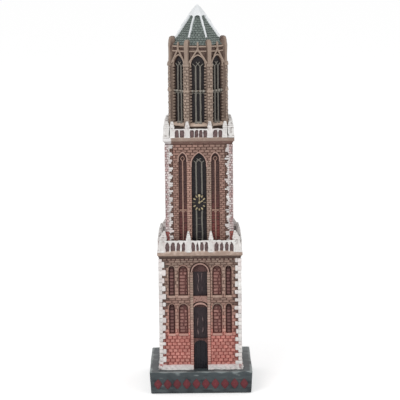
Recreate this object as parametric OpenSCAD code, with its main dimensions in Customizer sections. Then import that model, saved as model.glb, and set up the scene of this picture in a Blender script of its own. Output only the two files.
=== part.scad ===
// Miniature Gothic church tower: a cast and hand-painted souvenir in stacked sections.
// Millimetres, +Z up, origin on the table under the middle of the base. The front faces -Y.

/* [Base] */
// Width of the base block at its top edge
base_w = 45.4; // [42:0.2:60]
// Width of the base block at its foot
base_foot_w = 44.2; // [41:0.2:60]
// Height of the base block's top face above the table
base_h = 10; // [8:0.1:20]
// Chamfer along the block's top edge
base_edge = 0.3; // [0.2:0.1:1.5]
// Side of the felt pad
pad_w = 38; // [24:0.5:40]
// Thickness of the felt pad
pad_t = 1; // [0.7:0.1:2]
// How far the pad stands out below the block
pad_proud = 0.2; // [0.2:0.1:0.6]

/* [Frieze on the base] */
// Number of raised lozenges
frieze_n = 10; // [3:1:11]
// Width of a lozenge
frieze_w = 3.6; // [1:0.1:3.6]
// Height of a lozenge
frieze_h = 4.8; // [2:0.1:5]
// Thickness of a lozenge
frieze_t = 0.6; // [0.3:0.1:1]
// Distance between the centres of two lozenges
frieze_pitch = 4.2; // [3.8:0.1:4.6]
// Height of the row's centre line above the table
frieze_z = 4.5; // [3.5:0.1:5.5]

/* [Lower stage] */
// Width of the wall casting
lower_w = 35.2; // [29:0.2:42.4]
// Height of the wall, from the base to the gallery
lower_h = 49.7; // [40:0.2:65]
// Height of the plain wall under the windows
dado_h = 16.3; // [12:0.1:20]
// Wall between the two rows of windows
row_gap = 3.8; // [2.5:0.1:6]
// Wall above the upper row
head_gap = 3.2; // [2:0.1:6]
// Depth of the blind windows
blind_depth = 1; // [0.5:0.1:1.5]
// Width of the outer, narrow windows
outer_window_w = 2.5; // [1.5:0.1:3]
// Wall between the portal frame and the inner window
inner_strip = 1.1; // [0.6:0.1:2]
// Wall between the two windows
middle_strip = 1.8; // [1:0.1:2.5]
// Wall between the outer window and the quoins
outer_strip = 1.6; // [0.6:0.1:2]
// Height of a window sill
sill_h = 1.2; // [0.6:0.1:2]
// How far a sill stands out from the wall
sill_t = 0.7; // [0.3:0.1:1]
// Height of the white foot course
foot_h = 2.1; // [1:0.1:4]
// How far the foot course stands out from the wall
foot_t = 1; // [0.5:0.1:1.4]

/* [Portal] */
// Width of the portal frame
portal_w = 8.7; // [7.6:0.1:10]
// Depth of the slot for the frame
portal_depth = 1.8; // [1.2:0.1:2.5]
// How far the frame stands out from the wall
portal_proud = 0.4; // [0.1:0.1:0.8]
// Width of the openings in the frame
opening_w = 6.2; // [5:0.1:6.6]
// Height of the door
door_h = 13.6; // [9:0.1:14]
// Width of the door
door_w = 6.2; // [4:0.1:6.4]
// Chamfer of the door's head
door_chamfer = 2; // [0.5:0.1:2.4]
// Stone between the door and the window over it
lintel_h = 0.5; // [0.4:0.1:2]
// Width of the arched band over the lower window
band_w = 1; // [0.5:0.1:1.2]
// How far the arched band stands out from the frame
band_t = 0.5; // [0.2:0.1:1]

/* [Quoins] */
// Thickness of a quoin strip
quoin_t = 0.6; // [0.3:0.1:1]
// Length of a short block on the lower stage
lower_quoin_short = 1.6; // [1.2:0.1:2.4]
// Length of a long block on the lower stage
lower_quoin_long = 2.9; // [2.5:0.1:3.4]
// Length of a short block on the middle stage
middle_quoin_short = 2.3; // [1.2:0.1:2.6]
// Length of a long block on the middle stage
middle_quoin_long = 3.5; // [2.8:0.1:4]
// Height of one block
quoin_pitch = 1.75; // [1:0.05:3]

/* [Galleries] */
// How far the lower deck stands out from the wall below it
lower_overhang = 1.1; // [0.9:0.1:2]
// How far the upper deck stands out from the wall below it
upper_overhang = 1.3; // [0.9:0.1:2]
// Thickness of a deck's slab
slab_h = 1.6; // [1:0.1:3]
// Height of the mouldings under a slab
moulding_h = 1.3; // [0.6:0.1:3]
// Gap between a deck's edge and the parapet on it
parapet_inset = 0.1; // [0.1:0.1:0.6]
// Thickness of a parapet panel
parapet_t = 1.1; // [0.8:0.1:1.6]
// Depth of the arches cut into a panel
arcade_depth = 0.5; // [0.2:0.1:0.6]
// Distance between two balusters
baluster_pitch = 1.5; // [1.1:0.1:2.5]
// Width of a baluster
baluster_w = 0.65; // [0.4:0.05:0.9]
// Height of the lower parapet
lower_parapet_h = 5.3; // [4:0.1:8]
// Height of the upper parapet
upper_parapet_h = 4.1; // [3:0.1:6]
// Width of a corner pinnacle on the lower gallery
lower_corner_w = 3.2; // [2:0.1:3.2]
// Width of a corner pinnacle on the upper gallery
upper_corner_w = 2.9; // [2:0.1:3.2]
// Width of the smaller pinnacles
face_pinnacle_w = 2; // [1.6:0.1:2.4]
// Distance from the middle of a side to the smaller pinnacles
face_pinnacle_x = 4.9; // [4:0.1:6]
// How far a pinnacle's shaft rises above the parapet
pinnacle_rise = 0.5; // [0.2:0.1:2]
// Height of a spire on the lower gallery
lower_spire_h = 3.4; // [2:0.1:5]
// Height of a spire on the upper gallery
upper_spire_h = 2.5; // [1.6:0.1:5]
// Diameter of the pin under a pinnacle
pin_d = 1.2; // [0.8:0.1:1.4]
// Length of the pin under a pinnacle
pin_l = 1.2; // [0.8:0.1:1.3]

/* [Middle stage] */
// How far the middle wall stands back from the lower wall
setback = 3.3; // [3.1:0.1:4]
// Height of the wall between the two galleries
middle_h = 47; // [38:0.2:60]
// Width of the middle window
centre_window_w = 6.6; // [6:0.1:7.4]
// Height of the middle window's pointed head
centre_rise = 5; // [4:0.1:8]
// Height of the side windows' pointed heads
side_rise = 2.6; // [2.2:0.1:4]
// Wall between the middle window and a side window
pier_strip = 2; // [1.2:0.1:2.5]
// Wall between a side window and the quoins
corner_strip = 2.5; // [1.6:0.1:3]
// Height of the window sills above the gallery
window_foot = 1.4; // [0.8:0.1:3]
// Wall above the window heads
window_head_gap = 3.8; // [2.5:0.1:6]
// Depth of the middle window
centre_depth = 1.8; // [1.6:0.1:2.4]
// Depth of the side windows
side_depth = 1.1; // [0.8:0.1:1.6]
// Thickness of a window pane
pane_t = 0.6; // [0.4:0.1:0.8]
// Thickness of the tracery bars
tracery_t = 0.5; // [0.3:0.1:0.7]
// Width of the tracery bars
bar_w = 0.6; // [0.4:0.05:0.8]
// Distance from the window's centre line to a mullion
mullion_x = 1.25; // [1:0.05:1.8]
// Height of the side windows' cross bar above the gallery
transom_z = 17.8; // [12:0.1:24]
// Width of the moulding round a window head
hood_w = 0.6; // [0.4:0.1:1]
// How far that moulding stands out from the wall
hood_t = 0.6; // [0.3:0.1:1]

/* [Clock] */
// Height of the clock's centre above the gallery
clock_z = 21.3; // [16:0.1:28]
// Radius of the dial's rounded ends, half its width
dial_r = 3.1; // [2.4:0.05:3.2]
// How far the dial's ends lie above and below its centre
dial_stretch = 0.7; // [0:0.05:1]
// Thickness of the dial
dial_t = 0.6; // [0.4:0.1:0.8]
// Length of an hour mark
mark_l = 1.1; // [0.6:0.1:1.2]
// Width of an hour mark
mark_w = 0.55; // [0.3:0.05:0.7]
// Thickness of marks and hands
mark_t = 0.3; // [0.2:0.05:0.5]
// Length of the hour hand
hour_l = 1.7; // [1.2:0.1:2]
// Length of the minute hand
minute_l = 2.6; // [2:0.1:3]
// Width of the hands
hand_w = 0.6; // [0.5:0.05:0.8]
// Radius of the boss that holds the hands
boss_r = 0.4; // [0.3:0.05:0.5]

/* [Lantern] */
// Height of the lantern, from the gallery to the eaves
lantern_h = 39.6; // [32:0.2:50]
// Width of a pier
pier_w = 2.5; // [1.8:0.1:3]
// How far a pier stands out from the corner of the core
pier_d = 2.1; // [1.6:0.1:2.6]
// How far a pier's foot stands out from its shaft
pier_foot = 0.35; // [0.2:0.05:0.9]
// Height of a pier's foot
pier_foot_h = 9; // [5:0.1:12]
// Clear way between the pinnacles and the lantern's feet
walk_gap = 0.1; // [0.1:0.05:1]
// Height of the sloping sill above the gallery
lantern_sill_h = 6.2; // [5:0.1:9]
// Height of the sill's slope
weathering_h = 2.3; // [1:0.1:3]
// Thickness of the tracery wall
lantern_wall_t = 0.9; // [0.6:0.1:1.2]
// Wall beside a window in the tracery wall
jamb_w = 0.3; // [0.2:0.05:0.5]
// Height of a lantern window's pointed head
lantern_rise = 4; // [2.4:0.1:6]
// Distance from the eaves down to the window heads
lantern_head_gap = 4.4; // [3:0.1:6]
// Distance from the eaves down to the piers' caps
pier_cap_gap = 8.4; // [7:0.1:10]
// Height of the lantern's cross bars above the gallery
lantern_transom_z = 19.7; // [14:0.1:26]
// Height of a gable's feet above the piers' caps
gable_foot = 1.1; // [0.3:0.1:2]
// Height of a gable's point above the piers' caps
gable_h = 6.7; // [5:0.1:8]
// Distance between the two parapet rails
rail_gap = 2; // [1.4:0.1:3]
// Thickness of the gables and rails
gable_t = 0.8; // [0.5:0.1:1]
// Width of the gable's legs and the rails
gable_bar = 0.75; // [0.4:0.05:1]
// How far the piers rise above the eaves
pier_top_h = 2.9; // [2:0.1:5]

/* [Roof] */
// Height of the roof above the eaves
roof_h = 16.6; // [13:0.1:22]
// How far the eaves stand out from the core
eaves = 0.6; // [0.4:0.05:0.9]
// Width of a hip rib
rib_w = 0.8; // [0.6:0.1:1.4]
// How far a rib stands out from the roof
rib_t = 0.8; // [0.3:0.1:1.2]
// Height of the white cap
cap_h = 4.7; // [3:0.1:7]
// Thickness of the cap, level
cap_t = 1; // [0.3:0.1:1.2]

/* [Joints] */
// Glue gap round every spigot, pin and inset
glue_gap = 0.1; // [0.05:0.05:0.2]
// Side of the square spigot into the base
base_spigot_w = 18; // [12:0.5:20]
// Length of that spigot
base_spigot_l = 5; // [3:0.1:6]
// Side of the square spigot of the middle stage
middle_spigot_w = 12; // [8:0.5:16]
// How far the middle spigot reaches into the lower wall
middle_spigot_l = 5; // [3:0.1:8]
// Side of the square spigot of the lantern
lantern_spigot_w = 9; // [6:0.5:10]
// How far the lantern's spigot reaches into the middle wall
lantern_spigot_l = 5; // [3:0.1:8]
// Diameter of the roof's round spigot
roof_spigot_d = 8; // [6:0.1:9]
// Length of the roof's spigot
roof_spigot_l = 4; // [2:0.1:6]

/* [Hidden] */
$fn = 48;
cut = 0.05; // how far a cutting shape runs past the face that it cuts
half_turn = 22.5; // half the angle of one side of the octagon

brick = "#a86a56";
stone = "#a78d78";
white = "#e8e4e0";
dark = "#2b282b";
gold = "#c2b27a";
mullion_grey = "#8b887c";
slate = "#4f5f58";
base_green = "#4a5a5c";

// Heights above the table
lower_z = base_h;
lower_top = lower_z + lower_h;
deck_h = moulding_h + slab_h;
middle_z = lower_top + deck_h;
middle_top = middle_z + middle_h;
lantern_z = middle_top + deck_h;
eaves_z = lantern_z + lantern_h;

// Lower stage
lower_half = lower_w / 2;
row_h = (lower_h - dado_h - row_gap - head_gap) / 2;
upper_row = dado_h + row_h + row_gap; // foot of the upper row, above the base
inner_window_w = lower_half - (lower_quoin_long - quoin_t) - outer_strip - outer_window_w - middle_strip
    - inner_strip - portal_w / 2;
inner_window_x = portal_w / 2 + inner_strip + inner_window_w / 2;
outer_window_x = inner_window_x + inner_window_w / 2 + middle_strip + outer_window_w / 2;
blind_windows = [[-outer_window_x, outer_window_w], [-inner_window_x, inner_window_w],
    [inner_window_x, inner_window_w], [outer_window_x, outer_window_w]];
portal_h = upper_row + row_h + (portal_w - opening_w) / 2 + 0.2;
portal_t = portal_depth + portal_proud;
low_opening_z = door_h + lintel_h;
low_opening_h = dado_h + row_h - low_opening_z - band_w;

// Galleries
lower_deck_w = lower_w + 2 * lower_overhang;
middle_w = lower_w - 2 * setback;
middle_half = middle_w / 2;
upper_deck_w = middle_w + 2 * upper_overhang;
rail_h = 0.8; // coping on a parapet
plinth_h = 0.8; // foot of a parapet and of a pinnacle
pinnacle_cap_h = 0.5;
pinnacle_step = 0.15; // a shaft stands back this far from its plinth and cap

// Middle stage
centre_window_h = middle_h - window_foot - window_head_gap;
side_window_w = middle_half - (middle_quoin_long - quoin_t) - corner_strip - pier_strip - centre_window_w / 2;
side_window_x = centre_window_w / 2 + pier_strip + side_window_w / 2;

// Lantern: the feet of the piers end a clear way inside the pinnacles
pier_reach = upper_deck_w / 2 - parapet_inset - face_pinnacle_w - walk_gap;
pier_foot_r = (pier_reach - pier_w / 2 * sin(half_turn)) / cos(half_turn);
pier_r = pier_foot_r - pier_foot;
core_a = (pier_r - pier_d) * cos(half_turn); // distance from the axis to a flat side
lantern_wall_w = 2 * clear_half(core_a) - glue_gap;
lantern_window_w = lantern_wall_w - 2 * jamb_w;
gable_w = 2 * clear_half(core_a + lantern_wall_t) - glue_gap;
pier_cap_z = lantern_h - pier_cap_gap;
pier_in = core_a - 1; // a pier's block starts inside the core and is cut by it
band_proud = 0.25; // bands and caps on the piers
sill_out = 1; // how far the sloping sill stands out from the tracery wall

sides = ["front", "right", "back", "left"];
corners = ["front_right", "back_right", "back_left", "front_left"];
function names(stem, places) = [for (p = places) str(stem, "_", p)];

// Half the clear width between two piers, at a distance n from the axis
function clear_half(n) =
    (n - pier_w / 2 * sin(half_turn)) / cos(half_turn) * sin(half_turn) - pier_w / 2 * cos(half_turn);

// Radius of a pointed arch from its width and rise
function arch_r(w, rise) = (rise * rise + w * w / 4) / w;

// Places
module on_side(i) { rotate([0, 0, 90 * i]) children(); }
module on_face(k) { rotate([0, 0, 45 * k]) children(); }
module on_vertex(k) { rotate([0, 0, 45 * k + half_turn]) children(); }

// Stands a drawing up on a wall that faces -Y, at a distance from the axis; it extrudes outwards
module on_wall(distance, z) { translate([0, -distance, z]) rotate([90, 0, 0]) children(); }

// Shapes
module block(w, h) { translate([-w / 2, -w / 2, 0]) cube([w, w, h]); }

module bar(w, h) { translate([-w / 2, 0]) square([w, h]); }

module round_arch(w, h) {
    bar(w, h - w / 2);
    translate([0, h - w / 2]) circle(d = w);
}

module pointed_arch(w, h, rise) {
    r = arch_r(w, rise);
    bar(w, h - rise);
    translate([0, h - rise]) intersection() {
        translate([w / 2 - r, 0]) circle(r);
        translate([r - w / 2, 0]) circle(r);
        bar(w, rise + 1);
    }
}

// Head of a pointed arch as a band of even width, with short straight legs under the arch
module arch_band(w, rise, band, leg) {
    difference() {
        pointed_arch(w + 2 * band, leg + rise + band, rise + band);
        translate([0, -cut]) pointed_arch(w, leg + rise + cut, rise);
    }
}

module chamfered_head(w, h, c) {
    polygon([[-w / 2, 0], [w / 2, 0], [w / 2, h - c], [w / 2 - c, h], [-w / 2 + c, h], [-w / 2, h - c]]);
}

module octagon(a, h) { rotate([0, 0, half_turn]) cylinder(r = a / cos(half_turn), h = h, $fn = 8); }

// A rod with a square section between two points of the window's plane
module slant(x1, y1, x2, y2, w) {
    length = norm([x2 - x1, y2 - y1]);
    translate([x1, y1]) rotate(atan2(y2 - y1, x2 - x1)) translate([0, -w / 2]) square([length, w]);
}

// Base

module felt_pad() { color("#3c4a3c") block(pad_w, pad_t); }

module base_profile() {
    rotate([90, 0, 0]) linear_extrude(2 * base_w, center = true) polygon([
        [-base_foot_w / 2, pad_proud], [base_foot_w / 2, pad_proud],
        [base_w / 2, base_h - base_edge], [base_w / 2 - base_edge, base_h],
        [-base_w / 2 + base_edge, base_h], [-base_w / 2, base_h - base_edge]]);
}

module base_block() {
    color(base_green) difference() {
        intersection() {
            base_profile();
            rotate([0, 0, 90]) base_profile();
        }
        translate([0, 0, pad_proud - cut]) block(pad_w + 2 * glue_gap, pad_t - pad_proud + cut);
        translate([0, 0, base_h - base_spigot_l - glue_gap])
            block(base_spigot_w + 2 * glue_gap, base_spigot_l + glue_gap + cut);
    }
}

// The lozenges lie on the base's front face, which leans out towards its top
module base_frieze() {
    lean = atan((base_w - base_foot_w) / 2 / (base_h - base_edge - pad_proud));
    face_y = base_foot_w / 2 + (frieze_z - pad_proud) * tan(lean);
    color("#a03a3c") for (k = [0 : frieze_n - 1])
        translate([(k - (frieze_n - 1) / 2) * frieze_pitch, -face_y, frieze_z]) rotate([90 + lean, 0, 0])
            linear_extrude(frieze_t)
                polygon([[-frieze_w / 2, 0], [0, -frieze_h / 2], [frieze_w / 2, 0], [0, frieze_h / 2]]);
}

// Lower stage

// Four angle pieces, with a gap for each portal
module foot_course() {
    outer = lower_half + foot_t;
    color(white) translate([0, 0, lower_z]) difference() {
        block(2 * outer, foot_h);
        translate([0, 0, -cut]) block(lower_w, foot_h + 2 * cut);
        for (i = [0 : 3]) on_side(i) translate([-portal_w / 2 - glue_gap, -outer - cut, -cut])
            cube([portal_w + 2 * glue_gap, foot_t + 2 * cut, foot_h + 2 * cut]);
    }
}

module lower_tower() {
    color(brick) difference() {
        union() {
            translate([0, 0, lower_z]) block(lower_w, lower_h);
            translate([0, 0, lower_z - base_spigot_l]) block(base_spigot_w, base_spigot_l + 1);
        }
        translate([0, 0, lower_top - middle_spigot_l - glue_gap])
            block(middle_spigot_w + 2 * glue_gap, middle_spigot_l + glue_gap + cut);
        for (i = [0 : 3]) on_side(i) {
            on_wall(lower_half - portal_depth, lower_z - cut) linear_extrude(portal_depth + cut)
                round_arch(portal_w + 2 * glue_gap, portal_h + glue_gap + cut);
            for (b = blind_windows, row = [dado_h, upper_row])
                on_wall(lower_half - blind_depth, lower_z + row) translate([b[0], 0])
                    linear_extrude(blind_depth + cut) round_arch(b[1], row_h);
        }
    }
}

// Angle strip on one corner: short blocks all the way up, long ones by turns on either face
module quoin(half, z, h, short_l, long_l) {
    n = round(h / quoin_pitch);
    pitch = h / n;
    outer = half + quoin_t;
    difference() {
        translate([outer - short_l, -outer, z]) cube([short_l, short_l, h]);
        translate([-half, -half, z - cut]) cube([2 * half, 2 * half, h + 2 * cut]);
    }
    for (k = [0 : n - 1]) translate([0, 0, z + k * pitch])
        if (k % 2 == 0)
            translate([outer - long_l, -outer, 0]) cube([long_l, quoin_t, pitch]);
        else
            translate([half, -outer, 0]) cube([quoin_t, long_l, pitch]);
}

module lower_quoin(i) {
    color(white) on_side(i)
        quoin(lower_half, lower_z + foot_h, lower_h - foot_h, lower_quoin_short, lower_quoin_long);
}

module door_shape(gap = 0) {
    chamfered_head(door_w - 2 * gap, door_h - gap, door_chamfer);
}

module low_opening(gap = 0) {
    translate([0, low_opening_z + gap]) round_arch(opening_w - 2 * gap, low_opening_h - 2 * gap);
}

module high_opening(gap = 0) {
    translate([0, upper_row + gap]) round_arch(opening_w - 2 * gap, row_h + 0.2 - 2 * gap);
}

module portal_frame(i) {
    color(stone) on_side(i) on_wall(lower_half - portal_depth, lower_z) {
        linear_extrude(portal_t) difference() {
            round_arch(portal_w, portal_h);
            translate([0, -cut]) door_shape();
            low_opening();
            high_opening();
        }
        linear_extrude(portal_t + band_t)
            translate([0, low_opening_z + low_opening_h - opening_w / 2]) intersection() {
                difference() {
                    circle(d = opening_w + 2 * band_w);
                    circle(d = opening_w);
                }
                translate([-portal_w / 2, opening_w / 5]) square([portal_w, opening_w]);
            }
    }
}

// Dark panes at the back of the portal slots, each with two raised folds
module portal_panes() {
    fold_w = 0.5;
    fold_t = 0.3;
    color(dark) for (i = [0 : 3]) on_side(i) on_wall(lower_half - portal_depth, lower_z) {
        linear_extrude(pane_t) low_opening(glue_gap);
        linear_extrude(pane_t) high_opening(glue_gap);
        for (x = [-opening_w / 6, opening_w / 6], z = [low_opening_z + 1, upper_row + 1])
            translate([x, z]) linear_extrude(pane_t + fold_t) bar(fold_w, row_h / 2);
    }
}

module portal_doors() {
    color("#201e20") for (i = [0 : 3]) on_side(i) on_wall(lower_half - portal_depth, lower_z)
        linear_extrude(pane_t) door_shape(glue_gap);
}

module lower_sills() {
    overlap = 0.25;
    color(stone) for (i = [0 : 3], b = blind_windows, row = [dado_h, upper_row])
        on_side(i) on_wall(lower_half, lower_z + row - sill_h) translate([b[0], 0])
            linear_extrude(sill_t) bar(b[1] + 2 * overlap, sill_h);
}

// Galleries

// Distance from the axis to the centre of a pinnacle of width w on a deck
function pinnacle_y(deck_w, w) = deck_w / 2 - parapet_inset - w / 2;

// Places of the smaller pinnacles along one side; the upper gallery has one more beside each corner
function lower_pinnacle_xs() = [-face_pinnacle_x, face_pinnacle_x];
function flank_x() =
    pinnacle_y(upper_deck_w, upper_corner_w) - (upper_corner_w + face_pinnacle_w) / 2 - glue_gap;
function upper_pinnacle_xs() = [-flank_x(), -face_pinnacle_x, face_pinnacle_x, flank_x()];

module deck(wall_w, deck_w, z, spigot_w, corner_w, pinnacle_xs) {
    step = (deck_w - wall_w) / 3;
    pin_hole_d = pin_d + 2 * glue_gap;
    pin_hole_l = pin_l + glue_gap;
    color(stone) translate([0, 0, z]) difference() {
        union() {
            block(wall_w + step, moulding_h);
            translate([0, 0, moulding_h / 2]) block(wall_w + 2 * step, moulding_h);
            translate([0, 0, moulding_h]) block(deck_w, slab_h);
        }
        translate([0, 0, -cut]) block(spigot_w + 2 * glue_gap, deck_h + 2 * cut);
        for (i = [0 : 3]) on_side(i) translate([0, 0, deck_h - pin_hole_l]) {
            translate([pinnacle_y(deck_w, corner_w), -pinnacle_y(deck_w, corner_w), 0])
                cylinder(d = pin_hole_d, h = pin_hole_l + cut);
            for (x = pinnacle_xs) translate([x, -pinnacle_y(deck_w, face_pinnacle_w), 0])
                cylinder(d = pin_hole_d, h = pin_hole_l + cut);
        }
    }
}

module lower_deck() {
    deck(lower_w, lower_deck_w, lower_top, middle_spigot_w, lower_corner_w, lower_pinnacle_xs());
}

module upper_deck() {
    deck(middle_w, upper_deck_w, middle_top, lantern_spigot_w, upper_corner_w, upper_pinnacle_xs());
}

// One bay of a parapet: a panel with round-headed arches cut into its face, and a coping
module parapet_bay(length, h) {
    n = max(1, floor((length - baluster_w) / baluster_pitch));
    pitch = (length - baluster_w) / n;
    arch_h = h - plinth_h - rail_h;
    rotate([90, 0, 0]) translate([-length / 2, 0]) {
        linear_extrude(parapet_t - arcade_depth) square([length, h]);
        linear_extrude(parapet_t) difference() {
            square([length, h - rail_h / 2]);
            for (k = [0 : n - 1])
                translate([baluster_w / 2 + (k + 0.5) * pitch, plinth_h])
                    round_arch(pitch - baluster_w, arch_h);
        }
        translate([0, h - rail_h / 2]) linear_extrude(parapet_t + 0.1) square([length, rail_h / 2]);
    }
}

// The bays of one side fill the gaps between its pinnacles
module balustrade(deck_w, z, corner_w, pinnacle_xs, h) {
    corner_in = pinnacle_y(deck_w, corner_w) - corner_w / 2;
    left = concat([-corner_in], [for (x = pinnacle_xs) x + face_pinnacle_w / 2]);
    right = concat([for (x = pinnacle_xs) x - face_pinnacle_w / 2], [corner_in]);
    face_y = deck_w / 2 - parapet_inset - 0.1;
    color(white) for (k = [0 : len(left) - 1]) {
        length = right[k] - left[k] - 2 * glue_gap;
        if (length > 2 * baluster_w)
            translate([(left[k] + right[k]) / 2, -face_y + parapet_t, z]) parapet_bay(length, h);
    }
}

module lower_balustrade(i) {
    on_side(i) balustrade(lower_deck_w, middle_z, lower_corner_w, lower_pinnacle_xs(), lower_parapet_h);
}

module upper_balustrade(i) {
    on_side(i) balustrade(upper_deck_w, lantern_z, upper_corner_w, upper_pinnacle_xs(), upper_parapet_h);
}

module pinnacle(w, parapet_h, spire_h) {
    shaft_h = parapet_h + pinnacle_rise;
    translate([0, 0, -pin_l]) cylinder(d = pin_d, h = pin_l + plinth_h / 2);
    block(w, plinth_h);
    block(w - 2 * pinnacle_step, shaft_h);
    translate([0, 0, shaft_h]) block(w, pinnacle_cap_h);
    translate([0, 0, shaft_h + pinnacle_cap_h]) rotate([0, 0, 45])
        cylinder(d1 = (w - 2 * pinnacle_step) * sqrt(2), d2 = 0.3, h = spire_h - pinnacle_cap_h, $fn = 4);
}

module corner_pinnacle(i, deck_w, z, w, parapet_h, spire_h) {
    at = pinnacle_y(deck_w, w);
    color(white) on_side(i) translate([at, -at, z]) pinnacle(w, parapet_h, spire_h);
}

module lower_corner_pinnacle(i) {
    corner_pinnacle(i, lower_deck_w, middle_z, lower_corner_w, lower_parapet_h, lower_spire_h);
}

module upper_corner_pinnacle(i) {
    corner_pinnacle(i, upper_deck_w, lantern_z, upper_corner_w, upper_parapet_h, upper_spire_h);
}

module face_pinnacles(deck_w, z, pinnacle_xs, parapet_h, spire_h) {
    color(white) for (i = [0 : 3], x = pinnacle_xs) on_side(i)
        translate([x, -pinnacle_y(deck_w, face_pinnacle_w), z])
            pinnacle(face_pinnacle_w, parapet_h, spire_h);
}

module lower_face_pinnacles() {
    face_pinnacles(lower_deck_w, middle_z, lower_pinnacle_xs(), lower_parapet_h, lower_spire_h);
}

module upper_face_pinnacles() {
    face_pinnacles(upper_deck_w, lantern_z, upper_pinnacle_xs(), upper_parapet_h, upper_spire_h);
}

// Middle stage

module middle_tower() {
    color(brick) difference() {
        union() {
            translate([0, 0, middle_z]) block(middle_w, middle_h);
            translate([0, 0, lower_top - middle_spigot_l])
                block(middle_spigot_w, middle_spigot_l + deck_h + 1);
        }
        translate([0, 0, middle_top - lantern_spigot_l - glue_gap])
            block(lantern_spigot_w + 2 * glue_gap, lantern_spigot_l + glue_gap + cut);
        for (i = [0 : 3]) on_side(i) {
            on_wall(middle_half - centre_depth, middle_z + window_foot) linear_extrude(centre_depth + cut)
                pointed_arch(centre_window_w, centre_window_h, centre_rise);
            for (x = [-side_window_x, side_window_x])
                on_wall(middle_half - side_depth, middle_z + window_foot) translate([x, 0])
                    linear_extrude(side_depth + cut)
                        pointed_arch(side_window_w, centre_window_h, side_rise);
        }
    }
}

module middle_quoin(i) {
    color(white) on_side(i) quoin(middle_half, middle_z, middle_h, middle_quoin_short, middle_quoin_long);
}

module middle_panes() {
    gap = glue_gap;
    color(dark) for (i = [0 : 3]) on_side(i)
        on_wall(middle_half - centre_depth, middle_z + window_foot + gap) linear_extrude(pane_t)
            pointed_arch(centre_window_w - 2 * gap, centre_window_h - 2 * gap, centre_rise - gap);
}

// Two mullions whose heads fork and cross
module middle_tracery(i) {
    fork_z = centre_window_h - centre_rise * 0.85;
    fork_h = centre_rise * 0.4;
    pane_face = middle_half - centre_depth + pane_t;
    color(mullion_grey) on_side(i) on_wall(pane_face, middle_z + window_foot + glue_gap)
        linear_extrude(tracery_t) {
            for (s = [-1, 1]) {
                translate([s * mullion_x, 0]) bar(bar_w, fork_z);
                slant(s * mullion_x, fork_z - bar_w / 2, -s * mullion_x, fork_z + fork_h, bar_w * 0.8);
                slant(s * mullion_x, fork_z - bar_w / 2, s * (mullion_x + 0.9), fork_z + 0.9, bar_w * 0.8);
            }
        }
}

// One mullion, a diamond in the head and a cross bar with two small arches under it
module side_tracery() {
    diamond = side_window_w * 0.42;
    head_z = centre_window_h - side_rise;
    transom = transom_z - window_foot;
    light_w = (side_window_w - bar_w) / 2 - glue_gap;
    bar(bar_w, head_z - diamond * sqrt(2) / 2 + bar_w / 2);
    translate([0, head_z]) rotate(45) difference() {
        square(diamond + bar_w * 0.4, center = true);
        square(diamond - bar_w * 0.4, center = true);
    }
    translate([0, transom]) bar(side_window_w - 2 * glue_gap, bar_w);
    for (s = [-1, 1]) translate([s * (bar_w + light_w) / 2, transom - light_w / 2]) difference() {
        translate([-light_w / 2, 0]) square([light_w, light_w / 2 + cut]);
        circle(d = light_w * 0.8);
    }
}

module middle_side_tracery() {
    color("#a57766") for (i = [0 : 3], x = [-side_window_x, side_window_x])
        on_side(i) on_wall(middle_half - side_depth, middle_z + window_foot) translate([x, 0])
            linear_extrude(tracery_t) side_tracery();
}

module middle_hoods() {
    leg = 1.2;
    apex_z = middle_z + window_foot + centre_window_h;
    color(stone) for (i = [0 : 3]) on_side(i) {
        on_wall(middle_half, apex_z - centre_rise - leg) linear_extrude(hood_t)
            arch_band(centre_window_w, centre_rise, hood_w, leg);
        for (x = [-side_window_x, side_window_x])
            on_wall(middle_half, apex_z - side_rise - leg) translate([x, 0]) linear_extrude(hood_t)
                arch_band(side_window_w, side_rise, hood_w, leg);
    }
}

// Clock

// Stands on the tracery of the front window
module on_dial(t) {
    on_wall(middle_half - centre_depth + pane_t + tracery_t + t, middle_z + clock_z) children();
}

module clock_dial() {
    color("#1d1c1e") on_dial(0) linear_extrude(dial_t) {
        for (s = [-1, 1]) translate([0, s * dial_stretch]) circle(dial_r);
        square([2 * dial_r, 2 * dial_stretch], center = true);
    }
}

module clock_marks() {
    color(gold) on_dial(dial_t) for (k = [0 : 11]) translate([0, dial_stretch * cos(30 * k)]) rotate(30 * k)
        translate([-mark_w / 2, dial_r - mark_l - 0.1, 0]) cube([mark_w, mark_l, mark_t]);
}

// A hand with an eye at the boss and a pointed end
module hand(length, eye_r) {
    linear_extrude(mark_t) difference() {
        union() {
            circle(boss_r + 0.25);
            polygon([[-hand_w / 2, 0], [hand_w / 2, 0], [hand_w / 2, length * 0.7], [0, length],
                [-hand_w / 2, length * 0.7]]);
        }
        circle(eye_r);
    }
}

module clock_hour_hand() {
    color(gold) on_dial(dial_t) rotate(-60) hand(hour_l, boss_r + 0.05);
}

// The minute hand carries the boss, which goes through the hour hand's eye onto the dial
module clock_minute_hand() {
    color(gold) on_dial(dial_t) {
        translate([0, 0, mark_t]) hand(minute_l, boss_r / 2);
        cylinder(r = boss_r, h = 2.6 * mark_t);
    }
}

// Lantern

module pier_block(r, w, z, h) { translate([-w / 2, -r, z]) cube([w, r - pier_in, h]); }

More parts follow.
